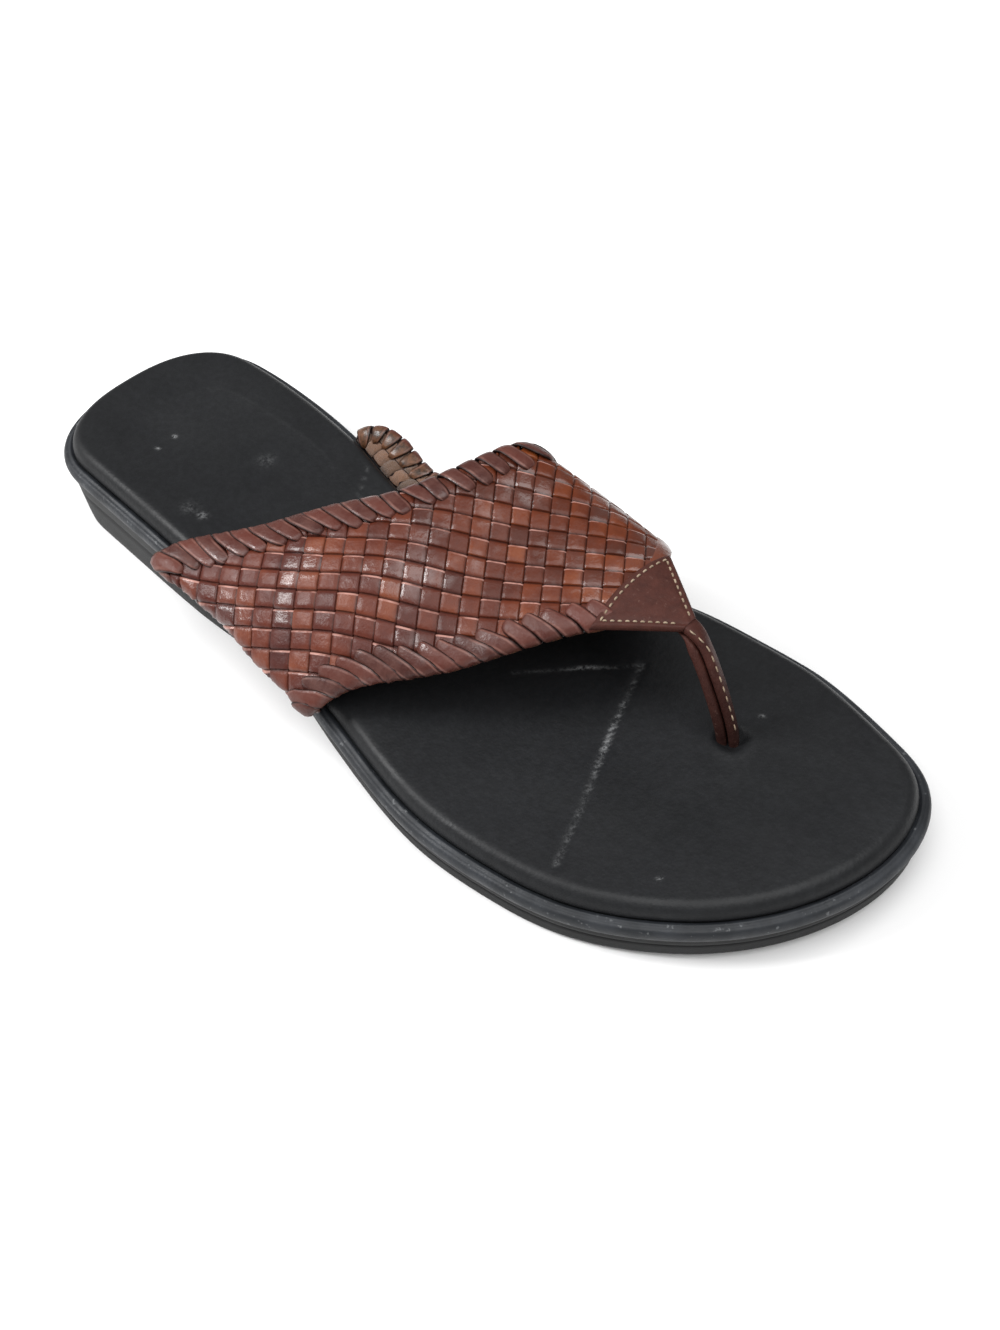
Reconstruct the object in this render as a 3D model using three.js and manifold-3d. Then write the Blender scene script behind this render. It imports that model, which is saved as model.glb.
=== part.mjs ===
import * as THREE from 'three';
import Module from 'manifold-3d';

// Toe post sandal for the right foot, in millimetres. While it is modelled, +X is the toe, +Y the inner side
// of the foot, +Z up, and x = 0 is the back of the heel. The finished group is moved to stand on the middle
// of its box. Every section table holds shares: "at" is a share of the sole's length, widths are shares of
// half the ball width, and heights of the upper are shares of the instep height.

const wasm = await Module();
wasm.setup();

// Driving dimensions
const SOLE_LENGTH = 260;
const BALL_WIDTH = 98.6;
const HEEL_SEAT = 22.3;
const BALL_SEAT = 11;
const TOE_SPRING = 3.1;
const MIDSOLE_THICKNESS = 4;
const HEEL_BREAST = 88;
const HEEL_INSET = 2.7;
const TREAD_INSET = 1.4;
const FOOTBED_THICKNESS = 4.4;
const HEEL_CUP_DEPTH = 1.6;
const ARCH_RISE = 2.4;
const INSTEP_HEIGHT = 38;
const WALL = 1.7;
const STRIP_WIDTH = 5;
const STRIP_RISE = 0.9;
const WEAVE_ANGLE = THREE.MathUtils.degToRad(38);
const LACE_PITCH = 4.4;
const LACE_REACH = 4;
const LACE_THICKNESS = 1.3;
const PATCH_THICKNESS = 1.5;
const STRAP_WIDTH = 4.4;
const STRAP_PLY = 2.4;
const FIT = 0.3;

const HALF_WIDTH = BALL_WIDTH / 2;
const clamp = (value, low, high) => Math.min(Math.max(value, low), high);
const ease = (low, high, value) => {
  const t = clamp((value - low) / (high - low), 0, 1);
  return t * t * (3 - 2 * t);
};

// A smooth curve through one column of a table: a cubic between two rows, whose slope at each row is that
// of the line through its neighbours.
function column(rows, key) {
  const slopes = rows.map((row, i) => {
    const before = rows[Math.max(i - 1, 0)];
    const after = rows[Math.min(i + 1, rows.length - 1)];
    return (after[key] - before[key]) / (after.at - before.at);
  });
  return (at) => {
    const place = clamp(at, rows[0].at, rows[rows.length - 1].at);
    const i = clamp(rows.findIndex((row) => row.at > place) - 1, 0, rows.length - 2);
    const k = place >= rows[rows.length - 1].at ? rows.length - 2 : i;
    const span = rows[k + 1].at - rows[k].at;
    const t = (place - rows[k].at) / span;
    const rise = rows[k + 1][key] - rows[k][key];
    const curl = (slopes[k] * (1 - t) - slopes[k + 1] * t) * span - rise * (1 - 2 * t);
    return rows[k][key] + rise * t + t * (1 - t) * curl;
  };
}

// Outline of the sole: half width and sideways shift of its middle line
const OUTLINE = [
  { at: 0.00, half: 0.630, shift: -0.020 },
  { at: 0.13, half: 0.673, shift: -0.012 },
  { at: 0.27, half: 0.663, shift: -0.053 },
  { at: 0.40, half: 0.611, shift: -0.101 },
  { at: 0.52, half: 0.773, shift: -0.061 },
  { at: 0.66, half: 0.984, shift: 0.032 },
  { at: 0.80, half: 0.988, shift: 0.116 },
  { at: 0.91, half: 0.966, shift: 0.221 },
  { at: 1.00, half: 1.039, shift: 0.402 },
];
const HEEL_ROUND = { length: 0.095, power: 2.4 };
const TOE_ROUND = { length: 0.241, power: 2.03 };
const halfWidthAt = column(OUTLINE, 'half');
const shiftAt = column(OUTLINE, 'shift');

// Share of the full width left by the round heel and the round toe, each a superellipse quarter
function roundEnds(at) {
  const heel = clamp(1 - at / HEEL_ROUND.length, 0, 1);
  const toe = clamp((at - 1 + TOE_ROUND.length) / TOE_ROUND.length, 0, 1);
  return (1 - heel ** HEEL_ROUND.power) ** (1 / HEEL_ROUND.power)
    * (1 - toe ** TOE_ROUND.power) ** (1 / TOE_ROUND.power);
}

// Side of the sole's outline at a distance along it: side is +1 for the inner side and -1 for the outer
function outlineY(x, side) {
  const at = x / SOLE_LENGTH;
  return HALF_WIDTH * (shiftAt(at) + side * halfWidthAt(at) * roundEnds(at));
}

// Height of the midsole's top: level under the ball, raised at the heel, with a toe spring
const SHANK = { from: 0.2, to: 0.62 };
const TOE_START = 0.7;
const SPRING_POWER = 1.5;
const toeRise = (at, start) => TOE_SPRING * ease(start, 1, at) ** SPRING_POWER;
function seatZ(x) {
  const at = x / SOLE_LENGTH;
  return HEEL_SEAT + (BALL_SEAT - HEEL_SEAT) * ease(SHANK.from, SHANK.to, at) + toeRise(at, TOE_START);
}

// The outline as a closed ring of plan points: inner side from heel to toe, then back along the outer side.
// Stations lie close together at the round ends and on both sides of the heel breast.
const STATIONS = 26;
const BREAST_SLOPE = 3;
const stations = [];
for (let i = 1; i < STATIONS; i += 1) {
  stations.push(SOLE_LENGTH * (1 - Math.cos((Math.PI * i) / STATIONS)) / 2);
}
stations.push(HEEL_BREAST - BREAST_SLOPE / 2, HEEL_BREAST + BREAST_SLOPE / 2);
stations.sort((a, b) => a - b);
const OUTLINE_RING = [
  new THREE.Vector2(0, outlineY(0, 1)),
  ...stations.map((x) => new THREE.Vector2(x, outlineY(x, 1))),
  new THREE.Vector2(SOLE_LENGTH, outlineY(SOLE_LENGTH, 1)),
  ...[...stations].reverse().map((x) => new THREE.Vector2(x, outlineY(x, -1))),
];

// The ring moved in from the outline by a distance that may change along the sole
function insetRing(inset) {
  const count = OUTLINE_RING.length;
  return OUTLINE_RING.map((point, i) => {
    const before = OUTLINE_RING[(i + count - 1) % count];
    const after = OUTLINE_RING[(i + 1) % count];
    const along = new THREE.Vector2().subVectors(after, before).normalize();
    const distance = typeof inset === 'function' ? inset(point.x) : inset;
    return new THREE.Vector2(point.x + along.y * distance, point.y - along.x * distance);
  });
}

// A closed layer of the sole. Each level is a ring of plan points with its height; the first is the rim of
// the underside and the last the rim of the top, and both are closed by a ladder from side to side.
function layer(levels) {
  const count = OUTLINE_RING.length;
  const positions = [];
  const triangles = [];
  for (const { inset, z } of levels) {
    insetRing(inset).forEach((point) => positions.push(point.x, point.y, z(point.x, point.y)));
  }
  for (let k = 0; k + 1 < levels.length; k += 1) {
    for (let i = 0; i < count; i += 1) {
      const a = k * count + i;
      const b = k * count + ((i + 1) % count);
      triangles.push([a, a + count, b], [b, a + count, b + count]);
    }
  }
  const top = (levels.length - 1) * count;
  for (let i = 0; i < count / 2; i += 1) {
    const left = i;
    const leftNext = i + 1;
    const right = (count - i) % count;
    const rightNext = count - i - 1;
    if (right !== left) {
      triangles.push([left, leftNext, right], [top + left, top + right, top + leftNext]);
    }
    if (leftNext !== rightNext) {
      triangles.push([right, leftNext, rightNext], [top + right, top + rightNext, top + leftNext]);
    }
  }
  return solid(positions, triangles);
}

// A closed solid from points and triangles that share them
function solid(positions, triangles) {
  const mesh = new wasm.Mesh({
    numProp: 3,
    vertProperties: Float32Array.from(positions),
    triVerts: Uint32Array.from(triangles.flat()),
  });
  return new wasm.Manifold(mesh);
}

// A closed solid carried through a row of rings with as many points each, its two ends closed flat. Seen
// along the row, the points of a ring run anticlockwise.
function tube(rings) {
  const sides = rings[0].length;
  const last = (rings.length - 1) * sides;
  const triangles = [];
  for (let i = 0; i + 1 < rings.length; i += 1) {
    for (let k = 0; k < sides; k += 1) {
      const a = i * sides + k;
      const b = i * sides + ((k + 1) % sides);
      triangles.push([a, a + sides, b], [b, a + sides, b + sides]);
    }
  }
  for (let k = 1; k + 1 < sides; k += 1) triangles.push([0, k, k + 1], [last, last + k + 1, last + k]);
  return solid(rings.flat().flatMap((point) => point.toArray()), triangles);
}

// Outsole: one moulded rubber unit with its heel. Its underside is level under heel and ball, steps up at
// the heel breast, runs up into the arch and rises again under the toes.
const outsoleTop = (x) => seatZ(x) - MIDSOLE_THICKNESS - FIT;
const ARCH = [
  { at: 0.33, gap: 0.34 },
  { at: 0.40, gap: 0.36 },
  { at: 0.47, gap: 0.20 },
  { at: 0.54, gap: 0.03 },
  { at: 0.58, gap: 0.00 },
];
const archGap = column(ARCH, 'gap');
const TREAD_TOE_START = 0.72;
function treadZ(x) {
  const at = x / SOLE_LENGTH;
  const arch = x < HEEL_BREAST ? 0 : HEEL_SEAT * archGap(at);
  return arch + toeRise(at, TREAD_TOE_START);
}
const treadInset = (x) => (x < HEEL_BREAST + BREAST_SLOPE ? HEEL_INSET : TREAD_INSET);
const OUTSOLE_STEP = 1.2;
const SIDE_BEND = 0.45;
const outsole = layer([
  { inset: treadInset, z: treadZ },
  { inset: (x) => treadInset(x) / 2, z: (x) => treadZ(x) + SIDE_BEND * (outsoleTop(x) - treadZ(x)) },
  { inset: OUTSOLE_STEP, z: outsoleTop },
]);

// Midsole: the grey layer between outsole and footbed, its edge round and standing out as a rim
const MIDSOLE_ROUND = 0.9;
const ROUND_SHARE = 0.3;
const midsoleBody = layer([
  { inset: MIDSOLE_ROUND, z: (x) => seatZ(x) - MIDSOLE_THICKNESS },
  { inset: 0, z: (x) => seatZ(x) - (1 - ROUND_SHARE) * MIDSOLE_THICKNESS },
  { inset: 0, z: (x) => seatZ(x) - ROUND_SHARE * MIDSOLE_THICKNESS },
  { inset: MIDSOLE_ROUND, z: seatZ },
]);

// Upper: one woven band. Its section across the foot is a smooth curve through fourteen knots, counted from
// the outer side: lasted margin, two of the bend, foot of the wall, bulge over the rim, side, haunch, crown,
// ridge, inner wall, and foot, bend and margin of the inner side. The curve is the outer face of the wall.
const MARGIN = 6;
const FOOT_INSET = 0.8;
const INNER_BEND = 0.6;
const BEND = WALL + INNER_BEND;
const KNOTS = { foot: 3, bulge: 4, crown: 7, ridge: 8, innerFoot: 10, last: 13 };
const SECTIONS = [
  { at: 0.22, bulgeY: 0.09, bulgeZ: 0.15, sideY: -0.67, sideZ: 0.27, haunchY: -0.40, haunchZ: 0.39,
    crownY: 0.00, crownZ: 0.50, ridgeY: 0.42, ridgeZ: 0.46, wallY: 0.62, wallZ: 0.20 },
  { at: 0.32, bulgeY: 0.13, bulgeZ: 0.15, sideY: -0.68, sideZ: 0.30, haunchY: -0.40, haunchZ: 0.45,
    crownY: 0.00, crownZ: 0.60, ridgeY: 0.51, ridgeZ: 0.57, wallY: 0.67, wallZ: 0.21 },
  { at: 0.38, bulgeY: 0.13, bulgeZ: 0.145, sideY: -0.68, sideZ: 0.36, haunchY: -0.385, haunchZ: 0.55,
    crownY: 0.02, crownZ: 0.71, ridgeY: 0.56, ridgeZ: 0.72, wallY: 0.65, wallZ: 0.13 },
  { at: 0.43, bulgeY: 0.13, bulgeZ: 0.14, sideY: -0.68, sideZ: 0.42, haunchY: -0.37, haunchZ: 0.65,
    crownY: 0.04, crownZ: 0.81, ridgeY: 0.60, ridgeZ: 0.87, wallY: 0.71, wallZ: 0.29 },
  { at: 0.50, bulgeY: 0.07, bulgeZ: 0.16, sideY: -0.68, sideZ: 0.44, haunchY: -0.37, haunchZ: 0.70,
    crownY: 0.08, crownZ: 0.90, ridgeY: 0.68, ridgeZ: 1.00, wallY: 0.79, wallZ: 0.52 },
  { at: 0.58, bulgeY: 0.04, bulgeZ: 0.16, sideY: -0.68, sideZ: 0.34, haunchY: -0.37, haunchZ: 0.60,
    crownY: 0.08, crownZ: 0.83, ridgeY: 0.71, ridgeZ: 0.94, wallY: 0.90, wallZ: 0.49 },
  { at: 0.68, bulgeY: 0.02, bulgeZ: 0.12, sideY: -0.68, sideZ: 0.26, haunchY: -0.36, haunchZ: 0.52,
    crownY: 0.08, crownZ: 0.77, ridgeY: 0.70, ridgeZ: 0.83, wallY: 0.93, wallZ: 0.42 },
  { at: 0.77, bulgeY: 0.01, bulgeZ: 0.10, sideY: -0.64, sideZ: 0.22, haunchY: -0.30, haunchZ: 0.46,
    crownY: 0.12, crownZ: 0.70, ridgeY: 0.70, ridgeZ: 0.76, wallY: 0.90, wallZ: 0.36 },
];
const sectionColumns = Object.fromEntries(
  Object.keys(SECTIONS[0]).filter((key) => key !== 'at').map((key) => [key, column(SECTIONS, key)]),
);

// The lasted end of the wall on one side, from the end of its margin round the bend to the foot of the wall
function lastedEnd(x, side) {
  const bottom = seatZ(x) + FIT;
  const foot = outlineY(x, side) - side * FOOT_INSET;
  const turn = (angle) => new THREE.Vector2(
    foot - side * BEND * (1 - Math.cos(angle)),
    bottom + BEND * (1 - Math.sin(angle)),
  );
  const margin = new THREE.Vector2(foot - side * (BEND + MARGIN), bottom);
  return [margin, turn(Math.PI / 2), turn(Math.PI / 4), turn(0)];
}

const curveCache = new Map();
function sectionCurve(x) {
  const key = x.toFixed(3);
  if (!curveCache.has(key)) {
    const row = Object.fromEntries(
      Object.entries(sectionColumns).map(([name, at]) => [name, at(x / SOLE_LENGTH)]),
    );
    const over = seatZ(x) + FIT;
    const knot = (y, z) => new THREE.Vector2(HALF_WIDTH * y, over + INSTEP_HEIGHT * z);
    const bulge = new THREE.Vector2(
      outlineY(x, -1) - HALF_WIDTH * row.bulgeY,
      over + INSTEP_HEIGHT * row.bulgeZ,
    );
    const points = [
      ...lastedEnd(x, -1),
      bulge,
      knot(row.sideY, row.sideZ),
      knot(row.haunchY, row.haunchZ),
      knot(row.crownY, row.crownZ),
      knot(row.ridgeY, row.ridgeZ),
      knot(row.wallY, row.wallZ),
      ...lastedEnd(x, 1).reverse(),
    ];
    const curve = new THREE.CatmullRomCurve3(
      points.map((point) => new THREE.Vector3(0, point.x, point.y)),
      false,
      'centripetal',
    );
    curve.arcLengthDivisions = 130;
    curveCache.set(key, curve);
  }
  return curveCache.get(key);
}

// A point of the upper: at x along the sole, at a knot place across it, and off the outer face by a distance
const STEP = 0.05;
function skin(x, knot, offset = 0) {
  const t = clamp(knot / KNOTS.last, 0, 1);
  const point = sectionCurve(x).getPoint(t);
  const across = sectionCurve(x).getTangent(t);
  const ahead = sectionCurve(x + STEP).getPoint(t);
  const behind = sectionCurve(x - STEP).getPoint(t);
  const along = new THREE.Vector3(2 * STEP, 0, 0).add(ahead).sub(behind);
  const normal = new THREE.Vector3().crossVectors(along, across).normalize();
  return new THREE.Vector3(x, point.y, point.z).addScaledVector(normal, offset);
}

// The band's two edges: where the throat and the front edge lie at each knot place
const EDGES = [
  { at: 0.0, throat: 0.268, front: 0.504 },
  { at: 3.0, throat: 0.268, front: 0.504 },
  { at: 4.0, throat: 0.273, front: 0.510 },
  { at: 5.0, throat: 0.298, front: 0.540 },
  { at: 6.0, throat: 0.362, front: 0.605 },
  { at: 7.0, throat: 0.447, front: 0.673 },
  { at: 7.1, throat: 0.456, front: 0.683 },
  { at: 7.5, throat: 0.486, front: 0.720 },
  { at: 7.9, throat: 0.503, front: 0.690 },
  { at: 8.2, throat: 0.503, front: 0.676 },
  { at: 8.5, throat: 0.487, front: 0.660 },
  { at: 8.8, throat: 0.466, front: 0.648 },
  { at: 8.9, throat: 0.446, front: 0.644 },
  { at: 9.0, throat: 0.388, front: 0.641 },
  { at: 9.07, throat: 0.334, front: 0.639 },
  { at: 9.15, throat: 0.308, front: 0.636 },
  { at: 9.4, throat: 0.290, front: 0.626 },
  { at: 9.7, throat: 0.280, front: 0.614 },
  { at: 10.0, throat: 0.274, front: 0.604 },
  { at: 13.0, throat: 0.274, front: 0.604 },
];
const throatAt = column(EDGES, 'throat');
const frontAt = column(EDGES, 'front');
const bandX = (across, knot) => SOLE_LENGTH * (throatAt(knot) + (frontAt(knot) - throatAt(knot)) * across);

// A sheet of points on the upper made solid between a low and a high offset, with walls round its border
function thicken(nodes, triangles, low, high) {
  const count = nodes.length;
  const positions = [];
  nodes.forEach((node) => positions.push(...skin(node.x, node.knot, high(node)).toArray()));
  nodes.forEach((node) => positions.push(...skin(node.x, node.knot, low(node)).toArray()));
  const borders = new Map();
  const all = [];
  for (const [a, b, c] of triangles) {
    all.push([a, b, c], [a + count, c + count, b + count]);
    for (const [from, to] of [[a, b], [b, c], [c, a]]) {
      if (!borders.delete(`${to} ${from}`)) borders.set(`${from} ${to}`, [from, to]);
    }
  }
  for (const [from, to] of borders.values()) {
    all.push([from, from + count, to], [to, from + count, to + count]);
  }
  return solid(positions, all);
}

// A sheet laid over part of the band: from throat to front in columns, across the foot in rows
function bandSheet(rows, columns, place) {
  const nodes = [];
  const triangles = [];
  for (let i = 0; i <= rows; i += 1) {
    for (let j = 0; j <= columns; j += 1) nodes.push(place(i / rows, j / columns));
  }
  for (let i = 0; i < rows; i += 1) {
    for (let j = 0; j < columns; j += 1) {
      const a = i * (columns + 1) + j;
      const b = a + columns + 1;
      triangles.push([a, a + 1, b], [b, a + 1, b + 1]);
    }
  }
  return { nodes, triangles };
}

// Rows of the sheet across the foot: even in knots, and closer together where the throat edge runs level
const ROW_STEP = 0.25;
const LEVEL_THROAT = [8.85, 8.91, 8.955, 9, 9.035, 9.08, 9.15];
function bandRows(from, to) {
  const count = Math.round((to - from) / ROW_STEP);
  const rows = new Set(LEVEL_THROAT.filter((knot) => knot > from && knot < to));
  for (let i = 0; i <= count; i += 1) rows.add(from + ((to - from) * i) / count);
  return [...rows].sort((a, b) => a - b);
}
function bandPart(from, to, edge) {
  const rows = bandRows(from, to);
  const last = rows.length - 1;
  return bandSheet(last, 7, (i, j) => {
    const knot = rows[Math.round(i * last)];
    return { x: bandX(edge + j * (1 - 2 * edge), knot), knot };
  });
}
const base = bandPart(0, KNOTS.last, 0);
const baseWall = thicken(base.nodes, base.triangles, () => -WALL, () => 0);

// The upper laid flat: a point's girth is its distance from the crown along the section's curve
function girthAtKnot(x, knot) {
  const lengths = sectionCurve(x).getLengths();
  const lengthTo = (place) => {
    const step = (place / KNOTS.last) * (lengths.length - 1);
    const i = clamp(Math.floor(step), 0, lengths.length - 2);
    return lengths[i] + (lengths[i + 1] - lengths[i]) * (step - i);
  };
  return lengthTo(knot) - lengthTo(KNOTS.crown);
}
function knotAtGirth(x, girth) {
  const whole = sectionCurve(x).getLength();
  const share = clamp((girth - girthAtKnot(x, 0)) / whole, 0, 1);
  return KNOTS.last * sectionCurve(x).getUtoTmapping(share);
}

// Plain weave of flat strips, laid aslant to the foot. Each tile is the stretch where one strip lies
// over the other: a pillow, high across its middle and low where it dives under its two neighbours.
const TILE_LOW = 0.25 * STRIP_RISE;
const CLEAR_KNOTS = 0.75;
const CLEAR_EDGE = 0.03;
function weaveSheet() {
  const nodes = [];
  const triangles = [];
  const places = new Map();
  const tiles = new Set();
  const onBand = (i, j) => {
    const x = STRIP_WIDTH * (i * Math.cos(WEAVE_ANGLE) - j * Math.sin(WEAVE_ANGLE));
    const girth = STRIP_WIDTH * (i * Math.sin(WEAVE_ANGLE) + j * Math.cos(WEAVE_ANGLE));
    return { x, knot: knotAtGirth(x, girth) };
  };
  const isOverBand = (i, j) => {
    const { x, knot } = onBand(i + 0.5, j + 0.5);
    const at = x / SOLE_LENGTH;
    if (at < SECTIONS[0].at || at > SECTIONS[SECTIONS.length - 1].at) return false;
    return knot > KNOTS.foot - CLEAR_KNOTS && knot < KNOTS.innerFoot + CLEAR_KNOTS
      && at > throatAt(knot) - CLEAR_EDGE && at < frontAt(knot) + CLEAR_EDGE;
  };
  const reach = Math.ceil(SOLE_LENGTH / STRIP_WIDTH);
  for (let i = -reach; i <= reach; i += 1) {
    const row = [];
    for (let j = -reach; j <= reach; j += 1) if (isOverBand(i, j)) row.push(j);
    for (let j = row[0]; j <= row[row.length - 1]; j += 1) tiles.add(`${i} ${j}`);
  }
  const spot = (i, j) => {
    const key = `${i} ${j}`;
    if (!places.has(key)) {
      places.set(key, nodes.length);
      nodes.push({ ...onBand(i, j), high: Number.isInteger(i + j) ? TILE_LOW : STRIP_RISE });
    }
    return places.get(key);
  };
  const four = (a, b, c, d) => triangles.push([a, b, c], [a, c, d]);
  for (const tile of tiles) {
    const [i, j] = tile.split(' ').map(Number);
    const runsAlong = (i + j) % 2 === 0;
    const corners = [spot(i, j), spot(i + 1, j), spot(i + 1, j + 1), spot(i, j + 1)];
    if (runsAlong) {
      four(corners[0], spot(i + 0.5, j), spot(i + 0.5, j + 1), corners[3]);
      four(spot(i + 0.5, j), corners[1], corners[2], spot(i + 0.5, j + 1));
    } else {
      four(corners[0], corners[1], spot(i + 1, j + 0.5), spot(i, j + 0.5));
      four(spot(i, j + 0.5), spot(i + 1, j + 0.5), corners[2], corners[3]);
    }
    const stepUp = (from, to, half) => triangles.push(runsAlong ? [from, half, to] : [from, to, half]);
    if (tiles.has(`${i + 1} ${j}`)) stepUp(corners[1], corners[2], spot(i + 1, j + 0.5));
    if (tiles.has(`${i} ${j + 1}`)) stepUp(corners[3], corners[2], spot(i + 0.5, j + 1));
  }
  return { nodes, triangles };
}

// The strips show from foot to foot of the wall and stop just inside the laced edges
const STRIP_SINK = 0.7 * WALL;
const OVER_STRIPS = 4 * STRIP_RISE;
const weave = weaveSheet();
const strips = thicken(weave.nodes, weave.triangles, () => -STRIP_SINK, (spot) => spot.high);
const SHOWN = { from: KNOTS.foot + 0.15, to: KNOTS.innerFoot - 0.15, edge: 0.035 };
const shown = bandPart(SHOWN.from, SHOWN.to, SHOWN.edge);
const shownSpace = thicken(shown.nodes, shown.triangles, () => -0.8 * STRIP_SINK, () => OVER_STRIPS);

// Whip lacing: one leather lace wound round an edge of the band, its loops slanting leaves on the outer face.
// Two rings of points a loop, one on the leaf and one in the gap between two leaves, both laid on the skin.
const LACE_SLANT = 0.6 * LACE_PITCH;
const LACE_GAP = 0.45;
const LACE_PRESSED = 6;
const LACE_PROUD = 0.4;
const LACE_ENDS = { low: KNOTS.foot + 0.15, high: KNOTS.innerFoot - 0.15 };
function lacing(edge, from, to, rise) {
  const samples = 240;
  const inward = edge === 0 ? 1 : -1;
  const line = [];
  for (let i = 0; i <= samples; i += 1) {
    const knot = from + ((to - from) * i) / samples;
    const x = bandX(edge, knot);
    line.push(new THREE.Vector3(x, girthAtKnot(x, knot), 0));
  }
  const path = new THREE.CatmullRomCurve3(line);
  path.arcLengthDivisions = samples;
  const rings = 2 * Math.round(path.getLength() / LACE_PITCH);
  const loops = [];
  for (let ring = 0; ring <= rings; ring += 1) {
    const middle = path.getPointAt(ring / rings);
    const along = path.getTangentAt(ring / rings);
    const full = ring % 2 === 1 ? 1 : LACE_GAP;
    const pressed = clamp(Math.min(ring, rings - ring) / LACE_PRESSED, 0, 1);
    const under = LACE_THICKNESS * full * pressed;
    const around = LACE_PROUD + 0.6 * LACE_THICKNESS * full;
    const section = [
      { reach: LACE_REACH, slant: LACE_SLANT, up: 0 },
      { reach: 0.45 * LACE_REACH, slant: LACE_SLANT / 2, up: rise * full },
      { reach: -around, slant: 0, up: 0.45 * rise * full },
      { reach: -around, slant: 0, up: -0.9 * WALL - 0.45 * under },
      { reach: 0.5 * LACE_REACH, slant: 0, up: -0.9 * WALL - under },
      { reach: 0.9 * LACE_REACH, slant: 0, up: -0.8 * WALL },
    ].map(({ reach, slant, up }) => {
      const x = middle.x + along.x * slant + inward * along.y * reach;
      const girth = middle.y + along.y * slant - inward * along.x * reach;
      return skin(x, clamp(knotAtGirth(x, girth), LACE_ENDS.low, LACE_ENDS.high), up);
    });
    loops.push(edge === 0 ? section : section.reverse());
  }
  return tube(loops);
}

// Toe strap: a smooth patch over the front of the band, wide behind and narrow at its tip, whose tail is
// folded double and runs down between the toes into the footbed.
const PATCH = {
  outer: { at: 0.686, side: 0.172 },
  inner: { at: 0.684, side: 0.702 },
  tip: { at: 0.750, side: 0.446 },
  backCurve: 0.007,
};
const POST_ROOT = { at: 0.808, side: 0.406 };
function knotAtSide(x, y) {
  let low = KNOTS.bulge;
  let high = KNOTS.ridge + 0.5;
  for (let i = 0; i < 30; i += 1) {
    const middle = (low + high) / 2;
    if (skin(x, middle).y < y) low = middle;
    else high = middle;
  }
  return (low + high) / 2;
}
function patchSpot(toTip, toInner, grow = 0) {
  const mix = (a, b, t) => a + (b - a) * t;
  const bow = PATCH.backCurve * 4 * toInner * (1 - toInner);
  const spread = 2 * grow * (toInner - 0.5);
  const back = {
    x: SOLE_LENGTH * (mix(PATCH.outer.at, PATCH.inner.at, toInner) - bow) - grow,
    y: HALF_WIDTH * mix(PATCH.outer.side, PATCH.inner.side, toInner) + spread,
  };
  const tip = {
    x: SOLE_LENGTH * PATCH.tip.at + grow,
    y: HALF_WIDTH * PATCH.tip.side + STRAP_WIDTH * (toInner - 0.5) + spread,
  };
  const x = mix(back.x, tip.x, toTip);
  return { x, knot: knotAtSide(x, mix(back.y, tip.y, toTip)) };
}
function patchPlate(grow, low, high) {
  const sheet = bandSheet(5, 8, (toTip, toInner) => patchSpot(toTip, toInner, grow));
  const turned = sheet.triangles.map(([a, b, c]) => [a, c, b]);
  return thicken(sheet.nodes, turned, () => low, () => high);
}
const patch = patchPlate(0, FIT, FIT + PATCH_THICKNESS);
const patchSeat = patchPlate(FIT, -0.5 * STRIP_SINK, OVER_STRIPS);

// The folded tail follows a path in shares of the run from the tip to its slit and of the tip's height
const STRAP_PATH = [
  { run: -0.35, rise: 0.95 },
  { run: 0.05, rise: 0.95 },
  { run: 0.26, rise: 0.86 },
  { run: 0.46, rise: 0.71 },
  { run: 0.70, rise: 0.49 },
  { run: 0.90, rise: 0.26 },
  { run: 1.00, rise: 0.06 },
  { run: 1.00, rise: -0.08 },
];
const rootX = SOLE_LENGTH * POST_ROOT.at;
const rootZ = seatZ(rootX) + FIT;
const tipSpot = patchSpot(1, 0.5);
const tipPoint = skin(tipSpot.x, tipSpot.knot);
const strapCurve = new THREE.CatmullRomCurve3(STRAP_PATH.map(({ run, rise }) => new THREE.Vector3(
  tipPoint.x + run * (rootX - tipPoint.x),
  tipPoint.y + run * (HALF_WIDTH * POST_ROOT.side - tipPoint.y),
  rootZ + rise * (tipPoint.z - rootZ),
)), false, 'centripetal');
const FOLD_GROOVE = 0.7;
const STRAP_BEVEL = 0.3;
function strapSweep(from, to, steps, grow) {
  const half = STRAP_WIDTH / 2 + grow;
  const thick = STRAP_PLY + grow;
  const bevel = STRAP_BEVEL * STRAP_WIDTH;
  const groove = grow > 0 ? 0 : FOLD_GROOVE;
  const section = [
    { side: half - bevel, up: thick }, { side: half, up: thick - bevel }, { side: half, up: groove },
    { side: half - groove, up: 0 }, { side: half, up: -groove }, { side: half, up: bevel - thick },
    { side: half - bevel, up: -thick },
  ];
  const ring = [...section, ...[...section].reverse().map(({ side, up }) => ({ side: -side, up }))];
  const rings = [];
  for (let i = 0; i <= steps; i += 1) {
    const share = from + ((to - from) * i) / steps;
    const point = strapCurve.getPointAt(share);
    const side = new THREE.Vector3(0, 1, 0);
    const up = new THREE.Vector3().crossVectors(strapCurve.getTangentAt(share), side).normalize();
    const place = (spot) => point.clone().addScaledVector(side, spot.side).addScaledVector(up, spot.up);
    rings.push(ring.map(place));
  }
  return tube(rings);
}
const STRAP_END = 0.985;
const SLIT_START = 0.72;
const strap = strapSweep(0, STRAP_END, 12, 0);
const slit = strapSweep(SLIT_START, 1, 4, FIT);
const toeStrap = patch.add(strap);

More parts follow.
